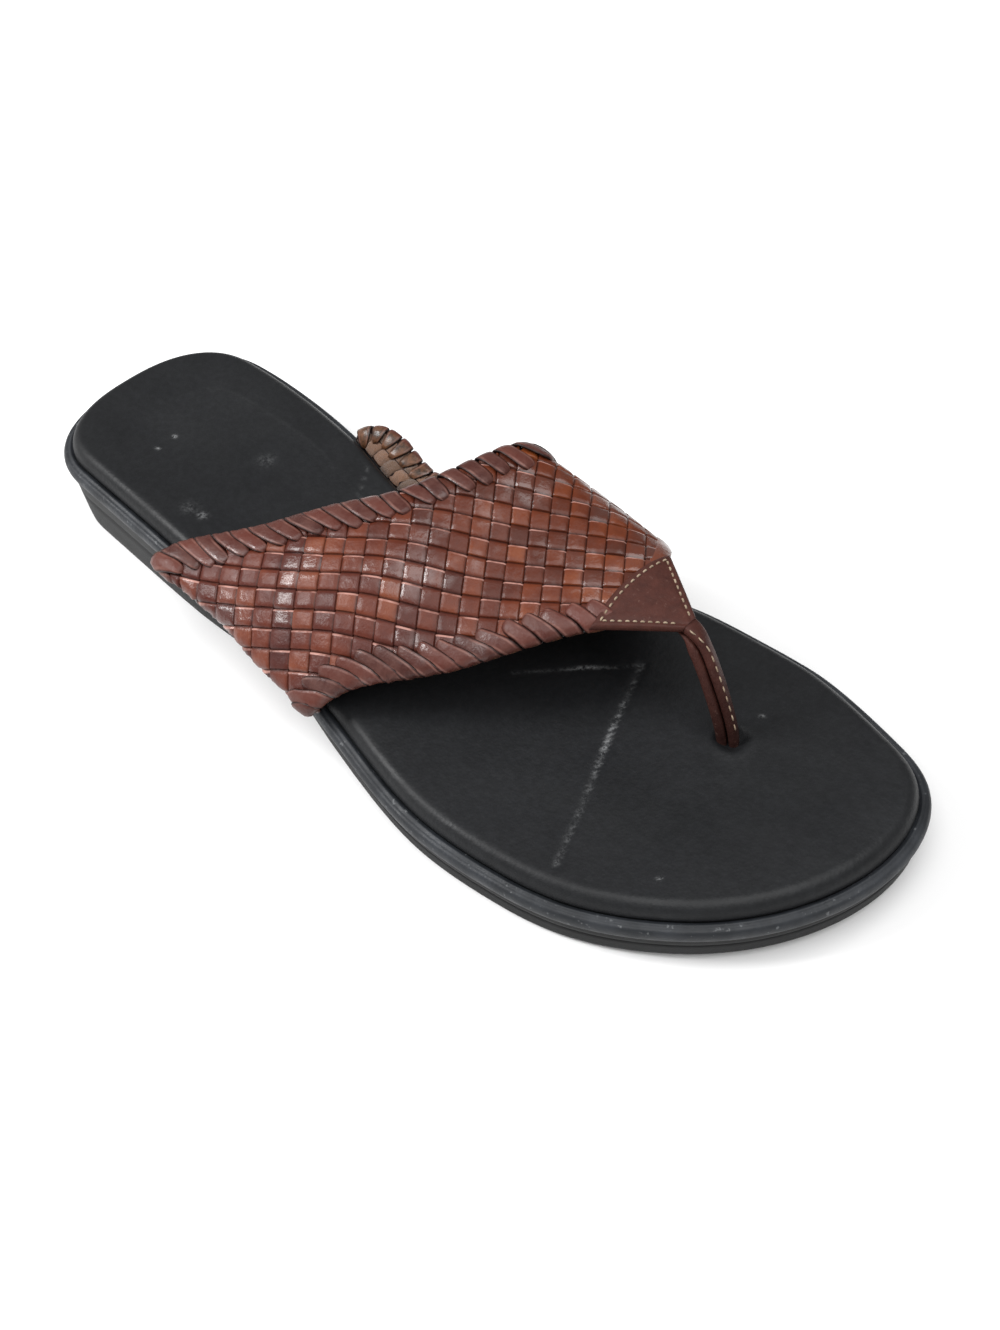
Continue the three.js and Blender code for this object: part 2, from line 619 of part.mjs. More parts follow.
const FRONT_LACE = 0.75;
const LACES = [
  { edge: 0, from: LACE_ENDS.low + 0.1, to: LACE_ENDS.high - 0.1, rise: LACE_THICKNESS },
  { edge: 1, from: LACE_ENDS.low + 0.1, to: KNOTS.crown - 0.05, rise: FRONT_LACE * LACE_THICKNESS },
  { edge: 1, from: KNOTS.ridge + 0.2, to: LACE_ENDS.high - 0.1, rise: FRONT_LACE * LACE_THICKNESS },
];
const raised = strips.intersect(shownSpace).subtract(patchSeat);
const upper = LACES.reduce(
  (whole, lace) => whole.add(lacing(lace.edge, lace.from, lace.to, lace.rise)),
  baseWall.add(raised),
);

// Footbed: a padded insole with a rolled edge, a heel cup and a raised inner arch. Its underside has a
// pocket on each side for the lasted ends of the band, and a slit for the toe strap.
const FOOTBED_GAP = 0.95;
const FOOTBED_INSET = FOOT_INSET + WALL + FOOTBED_GAP;
const ROLLED_EDGE = [
  { inset: 0.0, rise: 0.00 },
  { inset: 0.0, rise: 0.55 },
  { inset: 1.0, rise: 0.90 },
  { inset: 3.4, rise: 1.00 },
  { inset: 9.0, rise: 1.00 },
  { inset: 17.0, rise: 1.00 },
];
const CUP = { from: 2, to: 15, ahead: 0.27, end: 0.42 };
const ARCH_PAD = { at: 0.40, spread: 0.13, from: -0.2, to: 0.9 };
function footbedZ(x, y, inset, rise) {
  const at = x / SOLE_LENGTH;
  const cup = HEEL_CUP_DEPTH * ease(CUP.from, CUP.to, inset) * (1 - ease(CUP.ahead, CUP.end, at));
  const across = (y - HALF_WIDTH * shiftAt(at)) / (HALF_WIDTH * halfWidthAt(at));
  const along = Math.exp(-(((at - ARCH_PAD.at) / ARCH_PAD.spread) ** 2));
  const pad = ARCH_RISE * along * ease(ARCH_PAD.from, ARCH_PAD.to, across);
  return seatZ(x) + FIT + (FOOTBED_THICKNESS + pad) * rise - cup;
}
const footbedBody = layer(ROLLED_EDGE.map(({ inset, rise }) => ({
  inset: FOOTBED_INSET + inset,
  z: (x, y) => footbedZ(x, y, inset, rise),
})));

// Pocket under the footbed for one lasted end of the band, a channel along the sole
function lastedPocket(side) {
  const end = side < 0 ? 0 : KNOTS.last;
  const steps = 10;
  const rings = [];
  for (let i = 0; i <= steps; i += 1) {
    const x = bandX(0, end) - FIT + ((bandX(1, end) - bandX(0, end) + 2 * FIT) * i) / steps;
    const bottom = seatZ(x) + FIT;
    const outer = outlineY(x, side);
    const inner = outer - side * (FOOT_INSET + BEND + MARGIN + FIT);
    const corners = [
      [outer, bottom - FIT],
      [outer, bottom + BEND + FIT],
      [inner, bottom + WALL + FIT],
      [inner, bottom - FIT],
    ];
    const ring = corners.map(([y, z]) => new THREE.Vector3(x, y, z));
    rings.push(side < 0 ? ring : ring.reverse());
  }
  return tube(rings);
}
const footbed = footbedBody.subtract(lastedPocket(-1)).subtract(lastedPocket(1)).subtract(slit);
const midsole = midsoleBody.subtract(slit);

// One piece of the sandal as a mesh with its own look
function piece(name, body, look) {
  const { vertProperties, triVerts, numProp } = body.getMesh();
  const geometry = new THREE.BufferGeometry();
  const points = new THREE.InterleavedBuffer(Float32Array.from(vertProperties), numProp);
  geometry.setAttribute('position', new THREE.InterleavedBufferAttribute(points, 3, 0));
  geometry.setIndex(new THREE.BufferAttribute(Uint32Array.from(triVerts), 1));
  geometry.computeVertexNormals();
  const mesh = new THREE.Mesh(geometry, new THREE.MeshStandardMaterial(look));
  mesh.name = name;
  return mesh;
}

const sandal = new THREE.Group();
sandal.add(
  piece('outsole', outsole, { color: 0x17181a, roughness: 0.75, metalness: 0 }),
  piece('midsole', midsole, { color: 0x383b40, roughness: 0.6, metalness: 0 }),
  piece('footbed', footbed, { color: 0x26272a, roughness: 0.42, metalness: 0 }),
  piece('upper', upper, { color: 0x6a3324, roughness: 0.4, metalness: 0 }),
  piece('toe_strap', toeStrap, { color: 0x5c3229, roughness: 0.5, metalness: 0 }),
);
const box = new THREE.Box3().setFromObject(sandal);
const middle = box.getCenter(new THREE.Vector3());
sandal.position.set(-middle.x, -middle.y, -box.min.z);

export default sandal;
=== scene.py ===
import math

import bmesh
import bpy
import numpy as np
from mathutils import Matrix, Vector


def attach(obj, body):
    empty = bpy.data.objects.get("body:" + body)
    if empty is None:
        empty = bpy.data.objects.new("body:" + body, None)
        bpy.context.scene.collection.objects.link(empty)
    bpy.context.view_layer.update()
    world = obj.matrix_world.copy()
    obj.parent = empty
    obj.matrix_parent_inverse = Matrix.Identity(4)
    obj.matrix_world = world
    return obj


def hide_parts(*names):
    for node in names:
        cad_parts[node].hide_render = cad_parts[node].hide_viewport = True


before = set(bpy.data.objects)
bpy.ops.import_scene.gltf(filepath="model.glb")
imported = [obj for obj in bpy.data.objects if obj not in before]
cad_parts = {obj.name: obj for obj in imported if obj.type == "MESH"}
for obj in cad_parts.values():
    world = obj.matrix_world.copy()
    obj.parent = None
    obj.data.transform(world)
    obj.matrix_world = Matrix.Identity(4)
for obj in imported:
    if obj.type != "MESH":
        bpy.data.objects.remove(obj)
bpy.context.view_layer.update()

# Outsole: the moulded black rubber unit with its low heel, cemented under the grey layer. Its outline is the
# shape of a right foot; the side drops straight to the tread and the underside steps up at the heel breast.
# All curves are worked out in millimetres from the back of the heel, with the inner side at positive y.
LENGTH, HALF_BALL = 260.0, 49.3
HEEL_SEAT, BALL_SEAT, TOE_SPRING = 22.3, 11.0, 3.1
LAYER_THICK, FIT = 4.0, 0.3
HEEL_BREAST, HEEL_TAPER, TREAD_INSET, TOP_INSET = 88.0, 1.3, 1.4, 1.2
HEEL_ROUND, HEEL_POWER = 0.095, 2.4
TOE_ROUND, TOE_POWER = 0.241, 2.03
GROOVE_AT, GROOVE_DEEP = 0.66, 0.35
MIDDLE_SPAN = (33.0, 224.0)
PLACE = np.array([-130.0, -3.3917, 0.0])
OUTLINE = {
    "at": [0.00, 0.13, 0.27, 0.40, 0.52, 0.66, 0.80, 0.91, 1.00],
    "half": [0.630, 0.673, 0.663, 0.611, 0.773, 0.984, 0.988, 0.966, 1.039],
    "shift": [-0.020, -0.012, -0.053, -0.101, -0.061, 0.032, 0.116, 0.221, 0.402],
}


def through(rows, values, at):
    """A smooth curve through table rows: in each stretch a cubic whose end slopes are those of the lines
    through the neighbouring rows."""
    rows, values = np.asarray(rows, float), np.asarray(values, float)
    last = len(rows) - 1
    before, after = (np.clip(np.arange(last + 1) + way, 0, last) for way in (-1, 1))
    slopes = (values[after] - values[before]) / (rows[after] - rows[before])
    at = np.clip(at, rows[0], rows[-1])
    k = np.clip(np.searchsorted(rows, at, side="right") - 1, 0, last - 1)
    span = rows[k + 1] - rows[k]
    t = (at - rows[k]) / span
    rise = values[k + 1] - values[k]
    curl = (slopes[k] * (1 - t) - slopes[k + 1] * t) * span - rise * (1 - 2 * t)
    return values[k] + rise * t + t * (1 - t) * curl


def ease(low, high, value):
    """0 below low, 1 above high, and a smooth cubic between."""
    t = np.clip((value - low) / (high - low), 0, 1)
    return t * t * (3 - 2 * t)


def bell(distance, width):
    """1 at no distance, fading as a bell over a width."""
    return np.exp(-(distance / width) ** 2)


def middle_y(x):
    """The middle line of the sole."""
    return HALF_BALL * through(OUTLINE["at"], OUTLINE["shift"], x / LENGTH)


def outline_y(x, side):
    """The sole's edge: the middle line plus or minus the half width, rounded off at heel and toe by quarters
    of a superellipse. side is +1 for inner and -1 for outer."""
    at = x / LENGTH
    heel = np.clip(1 - at / HEEL_ROUND, 0, 1)
    toe = np.clip((at - 1 + TOE_ROUND) / TOE_ROUND, 0, 1)
    ends = (np.maximum(1 - heel ** HEEL_POWER, 0) ** (1 / HEEL_POWER)
            * np.maximum(1 - toe ** TOE_POWER, 0) ** (1 / TOE_POWER))
    return middle_y(x) + side * HALF_BALL * through(OUTLINE["at"], OUTLINE["half"], at) * ends


def seat_z(x):
    """Height of the grey layer's top: high at the heel, level under the ball, sprung at the toe."""
    at = x / LENGTH
    return HEEL_SEAT + (BALL_SEAT - HEEL_SEAT) * ease(0.2, 0.62, at) + TOE_SPRING * ease(0.7, 1, at) ** 1.5


def tread_z(x):
    """Height of the underside: level under heel and ball, up by the arch table ahead of the heel breast, and
    up again at the toe."""
    at = x / LENGTH
    arch = HEEL_SEAT * through([0.33, 0.40, 0.47, 0.54, 0.58], [0.34, 0.36, 0.20, 0.03, 0.0], at)
    return arch * ease(HEEL_BREAST - 1.5, HEEL_BREAST + 1.5, x) + TOE_SPRING * ease(0.72, 1, at) ** 1.5


def unit(vectors):
    """Vectors scaled to a length of one."""
    return vectors / np.linalg.norm(vectors, axis=-1, keepdims=True)


def run_along(line):
    """How far along a line each of its points lies."""
    return np.concatenate([[0], np.cumsum(np.linalg.norm(np.diff(line, axis=0), axis=1))])


def even_ring(count):
    """The outline as a closed ring, heel to toe along the inner side and back along the outer. Its places
    along the foot are the mean of both sides' even spacings, so that each inner point has an outer one
    straight across."""
    x = LENGTH * (1 - np.cos(np.linspace(0, np.pi, 3000))) / 2
    runs = [run_along(np.column_stack([x, outline_y(x, side)])) for side in (1, -1)]
    share = np.linspace(0, 1, count // 2 + 1)
    even = sum(np.interp(share * run[-1], run, x) for run in runs) / 2
    inner, outer = (np.column_stack([even, outline_y(even, side)]) for side in (1, -1))
    return np.vstack([inner, outer[-2:0:-1]])


AROUND = 720
RING = even_ring(AROUND)
ahead = np.roll(RING, -2, axis=0) - np.roll(RING, 2, axis=0)
INWARD = unit(np.column_stack([ahead[:, 1], -ahead[:, 0]]))


def make_piece(name, points, faces, material, values=None):
    """A smooth mesh from points in the maker's millimetres, with points that coincide made one; values are
    numbers kept at its points."""
    mesh = bpy.data.meshes.new(name)
    mesh.from_pydata(((np.asarray(points) + PLACE) / 1000).tolist(), [], np.asarray(faces).tolist())
    for key, numbers in (values or {}).items():
        mesh.attributes.new(key, "FLOAT", "POINT").data.foreach_set("value", np.asarray(numbers, np.float32))
    joined = bmesh.new()
    joined.from_mesh(mesh)
    bmesh.ops.remove_doubles(joined, verts=joined.verts, dist=1e-7)
    joined.to_mesh(mesh)
    joined.free()
    mesh.polygons.foreach_set("use_smooth", [True] * len(mesh.polygons))
    mesh.materials.append(material)
    mesh.update()
    thing = bpy.data.objects.new(name, mesh)
    bpy.context.collection.objects.link(thing)
    return thing


def quads(rows, count, closed=True):
    """Quads of a surface carried through rows of points, each row a closed ring or an open line."""
    i, k = np.meshgrid(np.arange(rows - 1), np.arange(count if closed else count - 1), indexing="ij")
    a, b = i * count + k, i * count + (k + 1) % count
    return np.stack([a, b, b + count, a + count], -1).reshape(-1, 4)


def tube_faces(rows, count):
    """Quads of a closed ring carried through rows, with both ends closed by strips across the ring."""
    ends = np.arange(count // 2 - 1)
    cap = np.stack([ends, ends + 1, count - 2 - ends, count - 1 - ends], -1)
    return np.concatenate([quads(rows, count), cap[:, ::-1], cap + (rows - 1) * count])


def layer_surface(levels, under_z, top_z, under_fill, top_fill):
    """A closed layer of the sole. levels are inset and height arrays from the underside's rim to the top's
    rim. Under and top faces are filled by rings that shrink on to the middle line; their heights are
    functions of the plan points and of their distance from the rim. Returns points and faces."""
    rims = [np.column_stack([RING + INWARD * np.broadcast_to(d, AROUND)[:, None], z]) for d, z in levels]
    heart_x = np.clip(RING[:, 0], *MIDDLE_SPAN)
    heart = np.column_stack([heart_x, middle_y(heart_x)])

    def filled(rim, height, count):
        rings = []
        for share in np.linspace(0, 1, count + 1)[1:]:
            flat = rim[:, :2] * (1 - share) + heart * share
            far = np.hypot(*(flat - rim[:, :2]).T)
            rings.append(np.column_stack([flat, height(flat, far)]))
        return rings

    rings = np.array(filled(rims[0], under_z, under_fill)[::-1] + rims + filled(rims[-1], top_z, top_fill))
    return rings.reshape(-1, 3), quads(len(rings), AROUND)[:, ::-1]


def node(tree, kind, links=(), **settings):
    """A shader node with its plain settings; each input is joined to an output or set to a value."""
    made = tree.nodes.new(kind)
    for key, value in settings.items():
        setattr(made, key, value)
    for socket, source in links:
        if isinstance(source, bpy.types.NodeSocket):
            tree.links.new(source, made.inputs[socket])
        else:
            made.inputs[socket].default_value = source
    return made


def new_material(name, **surface):
    """A material with its surface shader's even values set on the shader's own sockets."""
    material = bpy.data.materials.new(name)
    material.use_nodes = True
    shader = material.node_tree.nodes["Principled BSDF"]
    for socket, value in surface.items():
        shader.inputs[socket.replace("_", " ")].default_value = value
    return material, material.node_tree, shader


def wire(shader, **surface):
    """Outputs joined to the surface shader's sockets."""
    for socket, source in surface.items():
        shader.id_data.links.new(source, shader.inputs[socket.replace("_", " ")])


def kept(tree, *names):
    """Outputs that read the numbers kept at a mesh's points under these names."""
    return [node(tree, "ShaderNodeAttribute", attribute_name=name).outputs["Fac"] for name in names]


def maths(tree, kind, first, second):
    """Two numbers put together by arithmetic; kind is the operation."""
    return node(tree, "ShaderNodeMath", [(0, first), (1, second)], operation=kind).outputs["Value"]


def noise(tree, scale, detail=4.0, rough=0.55):
    """Cloudy noise on the object's own coordinates; scale counts its features in a metre."""
    place = node(tree, "ShaderNodeTexCoord").outputs["Object"]
    return node(tree, "ShaderNodeTexNoise", [("Vector", place), ("Scale", scale), ("Detail", detail),
                                             ("Roughness", rough)]).outputs["Fac"]


def ramp(tree, source, stops):
    """Colours or greys along a number: stops are places with a grey or a red, green, blue triple."""
    made = node(tree, "ShaderNodeValToRGB", [("Fac", source)])
    steps = made.color_ramp.elements
    while len(steps) < len(stops):
        steps.new(0.5)
    for step, (place, colour) in zip(steps, stops):
        step.position = place
        step.color = (*((colour,) * 3 if isinstance(colour, (int, float)) else colour), 1)
    return made.outputs["Color"]


def cloudy(tree, stops, *how):
    """Colours or greys along cloudy noise of some scale, detail and roughness."""
    return ramp(tree, noise(tree, *how), stops)


def blend(tree, share, first, second, kind="MIX"):
    """Two colours mixed by a share; kind is the blend type."""
    return node(tree, "ShaderNodeMix", [("Factor", share), ("A", first), ("B", second)], data_type="RGBA",
                blend_type=kind).outputs["Result"]


def bump(tree, height, distance, strength=1.0, before=None):
    """Small relief from a height number; distance is its depth in metres."""
    links = [("Height", height), ("Distance", distance), ("Strength", strength)]
    return node(tree, "ShaderNodeBump", links + ([("Normal", before)] if before else [])).outputs["Normal"]


def rubber_material():
    """Black moulded rubber: fine even grain, dull, with pale dust rubbed along it."""
    material, tree, shader = new_material("outsole_rubber", Roughness=0.6, Specular_IOR_Level=0.25)
    dust = cloudy(tree, [(0.45, 0.0), (0.75, 0.35)], 130, 6)
    colour = blend(tree, dust, (0.0045, 0.0047, 0.005, 1), (0.016, 0.0165, 0.0175, 1))
    wire(shader, Base_Color=colour, Normal=bump(tree, noise(tree, 1500, 3), 0.00008))
    return material


def outsole_levels():
    """Rounded tread edge, straight side with a shallow moulding groove, and the step under the grey layer."""
    x = RING[:, 0]
    tread, top = tread_z(x), seat_z(x) - LAYER_THICK - FIT
    side = TREAD_INSET + HEEL_TAPER * (1 - ease(HEEL_BREAST + 1, HEEL_BREAST + 6, x))
    rise = top - tread
    rows = [(side + 0.9, tread), (side + 0.35, tread + 0.25), (side + 0.05, tread + 0.8)]
    for share in (0.2, 0.35, 0.5, 0.62, GROOVE_AT, 0.70, 0.8, 0.9, 0.97):
        groove = GROOVE_DEEP if share == GROOVE_AT else 0
        rows.append((side + (TOP_INSET - side) * share + groove, tread + share * rise))
    return rows + [(TOP_INSET + 0.25, top)]


points, faces = layer_surface(outsole_levels(), lambda flat, far: tread_z(flat[:, 0]),
                              lambda flat, far: seat_z(flat[:, 0]) - LAYER_THICK - FIT, 10, 4)
outsole = make_piece("outsole_unit", points, faces, rubber_material())
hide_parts("outsole")
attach(outsole, "root")

# Midsole: the grey layer between the outsole and the padded footbed. Its edge is ground round and stands out
# as a rim all round, with a fine bead along the inner edge of its top.
RIM_ROUND = 1.3
BEAD = ((1.75, 0.05), (1.95, 0.34), (2.25, 0.42), (2.55, 0.3), (2.75, -0.1))


def midsole_material():
    """Dark grey microcellular layer: satin, streaked along by grinding, with lighter rubbed places."""
    material, tree, shader = new_material("midsole_grey", Specular_IOR_Level=0.3)
    rubbed = cloudy(tree, [(0.42, 0.0), (0.72, 1.0)], 90, 6, 0.6)
    colour = blend(tree, rubbed, (0.011, 0.0125, 0.015, 1), (0.026, 0.029, 0.034, 1))
    speck = cloudy(tree, [(0.66, 0.0), (0.74, 0.55)], 700, 2)
    wire(shader, Base_Color=blend(tree, speck, colour, (0.13, 0.135, 0.14, 1)),
         Roughness=cloudy(tree, [(0.3, 0.42), (0.7, 0.62)], 160, 4),
         Normal=bump(tree, noise(tree, 900, 4), 0.00012))
    return material


def midsole_levels():
    """A rounded edge, then the low bead two millimetres in from it."""
    top = seat_z(RING[:, 0])
    turn = np.radians(np.linspace(-90, 90, 13))
    rows = [(RIM_ROUND * (1 - math.cos(a)), top - LAYER_THICK / 2 * (1 - math.sin(a))) for a in turn]
    return rows + [(inset, top + rise) for inset, rise in BEAD]


points, faces = layer_surface(midsole_levels(), lambda flat, far: seat_z(flat[:, 0]) - LAYER_THICK,
                              lambda flat, far: seat_z(flat[:, 0]) + BEAD[-1][1], 4, 4)
midsole = make_piece("midsole_rim", points, faces, midsole_material())
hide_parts("midsole")
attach(midsole, "root")

# Footbed: a thin pad covered in smooth charcoal leather, its edge rolled over and cemented down on the grey
# layer. Wear has pressed a hollow for the heel and a dip under the ball, and creased it ahead of the band.
PAD_INSET, PAD_THICK, PAD_LIFT, EDGE_ROLL = 3.1, 4.4, 0.1, 3.4
CUP_DEPTH, ARCH_RISE = 1.6, 2.4
SLIT = np.array([211.0, 20.0])
CREASE = np.array([[180.0, 23.5], [187.2, 5.2], [193.6, -8.7], [198.3, -18.5], [204.8, -34.0]])
CROSS_CREASE = np.array([[158, 0.5], [165.7, 8.8], [170.3, 14.1], [175.8, 19], [180, 23.5]])
SEAM = np.array([[85, 20], [92.5, 8.4], [100.6, 3.5], [109.4, 0.3], [122.5, -1.3]])
SCUFFS = (
    # x, y, size, strength
    (61, -22, 2.2, 0.16), (65.5, -21.5, 1.2, 0.55), (60.8, 4.4, 2.2, 0.14), (33.7, -6.3, 0.6, 1.3),
    (34.5, -12.7, 0.5, 1.1), (212, 30, 0.5, 0.6), (224.4, -21.5, 0.45, 0.8),
)


def away_from_line(flat, line):
    """Distance of plan points from a line of short stretches, and how far along it the nearest point lies."""
    best, along, run = np.full(len(flat), 1e9), np.zeros(len(flat)), 0.0
    for start, end in zip(line[:-1], line[1:]):
        way = end - start
        t = np.clip((flat - start) @ way / (way @ way), 0, 1)
        gap = np.hypot(*(flat - start - t[:, None] * way).T)
        along = np.where(gap < best, run + t * np.hypot(*way), along)
        best = np.minimum(best, gap)
        run += np.hypot(*way)
    return best, along


def mound(flat, x, y, long, wide):
    """A round swelling of height 1 at a plan point, fading as a bell over its length and width."""
    return np.exp(-((flat[:, 0] - x) / long) ** 2 - ((flat[:, 1] - y) / wide) ** 2)


def footbed_z(flat, far):
    """The top: seat, pad and arch, less the heel cup, the dips pressed by wear, the creases, the seam and the
    strap's slit, whose lip stands up a little."""
    x, y = flat.T
    at = x / LENGTH
    across = (y - middle_y(x)) / (HALF_BALL * through(OUTLINE["at"], OUTLINE["half"], at))
    arch = ARCH_RISE * bell(at - 0.40, 0.13) * ease(-0.2, 0.9, across)
    cup = CUP_DEPTH * ease(-2, 20, far) * (1 - ease(0.27, 0.42, at))
    hollow = 0.35 * np.clip(1 - ((x - 52) / 31) ** 4 - ((y + 3) / 20) ** 4, 0, 1) ** 0.5
    pressed = 0.7 * mound(flat, 178, -4, 22, 30) + 0.5 * mound(flat, 232, 22, 13, 14)
    gap, _ = away_from_line(flat, CREASE)
    crease = 0.22 * bell(gap, 0.7) - 0.10 * bell(gap - 2.4, 1.6)
    cross, _ = away_from_line(flat, CROSS_CREASE)
    crease += 0.2 * bell(cross, 0.8)
    seam, _ = away_from_line(flat, SEAM)
    stitched = 0.25 * bell(seam, 0.8)
    hole = 1.5 * np.exp(-(((x - SLIT[0]) / 3.1) ** 4 + ((y - SLIT[1]) / 3.0) ** 4))
    lip = 0.25 * bell(np.hypot(x - SLIT[0], y - SLIT[1]) - 4.6, 1.5)
    return seat_z(x) + FIT + PAD_THICK + arch - cup - hollow - pressed - crease - stitched - hole + lip


def footbed_levels():
    """The rolled edge: a quarter of an ellipse from the grey layer up and in to the top."""
    x = RING[:, 0]
    turn = np.radians(np.linspace(0, 90, 12))
    inner = RING + INWARD * (PAD_INSET + EDGE_ROLL)
    low = seat_z(x) + PAD_LIFT
    full = footbed_z(inner, np.zeros(AROUND)) - low
    return [(PAD_INSET + EDGE_ROLL * (1 - math.cos(a)), low + full * math.sin(a)) for a in turn]


def footbed_material():
    """Charcoal leather with a half gloss dulled by wear: fine pores, faint cloudy colour, a pale rubbed
    crease, a painted highlight along the cross crease, small scuffs and white specks."""
    material, tree, shader = new_material("footbed_leather", Specular_IOR_Level=0.22)
    cloud = cloudy(tree, [(0.35, 0.0), (0.68, 1.0)], 26, 5, 0.6)
    colour = blend(tree, cloud, (0.0058, 0.0062, 0.0070, 1), (0.0100, 0.0106, 0.0118, 1))
    fine = cloudy(tree, [(0.4, 0.82), (0.65, 1.12)], 520, 4, 0.7)
    colour = blend(tree, 1.0, colour, fine, "MULTIPLY")
    grit = cloudy(tree, [(0.42, 0.0), (0.62, 1.0)], 900, 4, 0.8)
    # Pale share: rubbed wear, plus a painted highlight along the cross crease.
    rubbed = maths(tree, "MULTIPLY", kept(tree, "wear_and_highlight")[0], grit)
    place = node(tree, "ShaderNodeTexCoord").outputs["Object"]
    pores = node(tree, "ShaderNodeTexVoronoi", [("Vector", place), ("Scale", 1100.0)], feature="F1")
    grain = bump(tree, pores.outputs["Distance"], 0.00006, 0.6)
    wire(shader, Base_Color=blend(tree, rubbed, colour, (0.28, 0.285, 0.29, 1)),
         Roughness=cloudy(tree, [(0.3, 0.40), (0.7, 0.54)], 60, 5),
         Normal=bump(tree, noise(tree, 300, 5), 0.00018, 0.7, grain))
    return material


def pale_wear_and_highlight(plan):
    """How pale the leather is: rubbed along the main crease, most at one place, a painted highlight along the
    cross crease, brightest at one spot, faint and broken along the seam, and in small round scuffs."""
    gap, run = away_from_line(plan, CREASE)
    ripple = 0.14 * np.sin(run * 1.3) * np.sin(run * 0.37)
    wear_and_highlight = bell(gap, 0.5) * (0.20 + 0.46 * bell(run - 24, 9) + ripple)
    # Painted highlight: a pale line along the cross crease with a bright spot on it.
    gap, run = away_from_line(plan, CROSS_CREASE)
    wear_and_highlight += bell(gap, 0.5) * (0.18 + 0.7 * bell(run - 18, 3.5))
    gap, run = away_from_line(plan, SEAM)
    wear_and_highlight += 0.1 * bell(gap, 0.6) * (np.sin(run * 2.1) > -0.2)
    for x, y, size, strength in SCUFFS:
        wear_and_highlight += strength * np.exp(-((plan[:, 0] - x) ** 2 + (plan[:, 1] - y) ** 2) / size ** 2)
    return np.clip(wear_and_highlight, 0, 1)


points, faces = layer_surface(footbed_levels(), lambda flat, far: seat_z(flat[:, 0]) + PAD_LIFT,
                              footbed_z, 3, 62)
footbed = make_piece("footbed_pad", points, faces, footbed_material(), {"wear_and_highlight": pale_wear_and_highlight(points[:, :2])})
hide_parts("footbed")
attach(footbed, "root")

# Upper: one band woven from flat strips of glossy red-brown leather, laid aslant to the foot over a thin
# backing and lasted at both sides under the footbed. The strips' flesh side shows inside, tan and fuzzy.
INSTEP, WALL = 38.0, 1.7
FOOT_INSET, BEND, MARGIN = 0.8, 2.3, 6.0
SECTIONS = np.array([
    [22, 9, 15, -67, 27, -40, 39, 0, 50, 42, 46, 62, 20],
    [32, 13, 15, -68, 30, -40, 45, 0, 60, 51, 57, 67, 21],
    [38, 13, 14.5, -68, 36, -38.5, 55, 2, 71, 56, 72, 65, 13],
    [43, 13, 14, -68, 42, -37, 65, 4, 81, 60, 87, 71, 29],
    [50, 7, 16, -68, 44, -37, 70, 8, 90, 68, 100, 79, 52],
    [58, 4, 16, -68, 34, -37, 60, 8, 83, 71, 94, 90, 49],
    [68, 2, 12, -68, 26, -36, 52, 8, 77, 70, 83, 93, 42],
    [77, 1, 10, -64, 22, -30, 46, 12, 70, 70, 76, 90, 36],
]) / 100
EDGES = np.array([
    [0, 268, 504], [3, 268, 504], [4, 273, 510], [5, 298, 540], [6, 362, 605],
    [7, 447, 673], [7.1, 456, 683], [7.5, 486, 720], [7.9, 503, 690], [8.2, 503, 676],
    [8.5, 487, 660], [8.8, 466, 648], [8.9, 446, 644], [9, 388, 641],
    [9.07, 334, 639], [9.15, 308, 636], [9.4, 290, 626], [9.7, 280, 614],
    [10, 274, 604], [13, 274, 604],
]) / [1, 1000, 1000]
CROWN, LAST_KNOT = 7.0, 13.0


def lasted_end(x, side):
    """The wall's end on one side: the margin, a quarter turn of radius BEND, and the foot of the wall."""
    foot, bottom = outline_y(x, side) - side * FOOT_INSET, seat_z(x) + FIT
    turn = np.radians([90, 45, 0])
    bend = np.stack([foot[:, None] - side * BEND * (1 - np.cos(turn)),
                     bottom[:, None] + BEND * (1 - np.sin(turn))], -1)
    margin = np.stack([foot - side * (BEND + MARGIN), bottom], -1)
    return np.concatenate([margin[:, None], bend], 1)


def section_knots(x):
    """Fourteen knots across the foot at each x: lasted end, bulge, side, haunch, crown, ridge, inner wall and
    the other lasted end, heights in shares of the instep and sides in shares of the half width."""
    row = np.stack([through(SECTIONS[:, 0], column, x / LENGTH) for column in SECTIONS[:, 1:].T], -1)
    over = seat_z(x) + FIT
    bulge = np.stack([outline_y(x, -1) - HALF_BALL * row[:, 0], over + INSTEP * row[:, 1]], -1)
    free = np.stack([HALF_BALL * row[:, 2::2], over[:, None] + INSTEP * row[:, 3::2]], -1)
    return np.concatenate([lasted_end(x, -1), bulge[:, None], free, lasted_end(x, 1)[:, ::-1]], 1)


def smooth_line(knots, places):
    """Points on a smooth line through knots: between two knots a cubic, whose end slopes weigh the spans by
    the square roots of their lengths. Knots lie along the second axis; places count knots from the first."""
    knots = np.concatenate([2 * knots[:, :1] - knots[:, 1:2], knots, 2 * knots[:, -1:] - knots[:, -2:-1]], 1)
    k = np.clip(places.astype(int), 0, knots.shape[1] - 4)
    t = (places - k)[None, :, None]
    a, b, c, d = (knots[:, k + i] for i in range(4))
    ab, bc, cd = (np.sqrt(np.linalg.norm(q - p, axis=-1, keepdims=True)) for p, q in ((a, b), (b, c), (c, d)))
    first = ((b - a) / ab - (c - a) / (ab + bc) + (c - b) / bc) * bc
    last = ((c - b) / bc - (d - b) / (bc + cd) + (d - c) / cd) * bc
    return b + first * t + (3 * (c - b) - 2 * first - last) * t ** 2 + (2 * (b - c) + first + last) * t ** 3


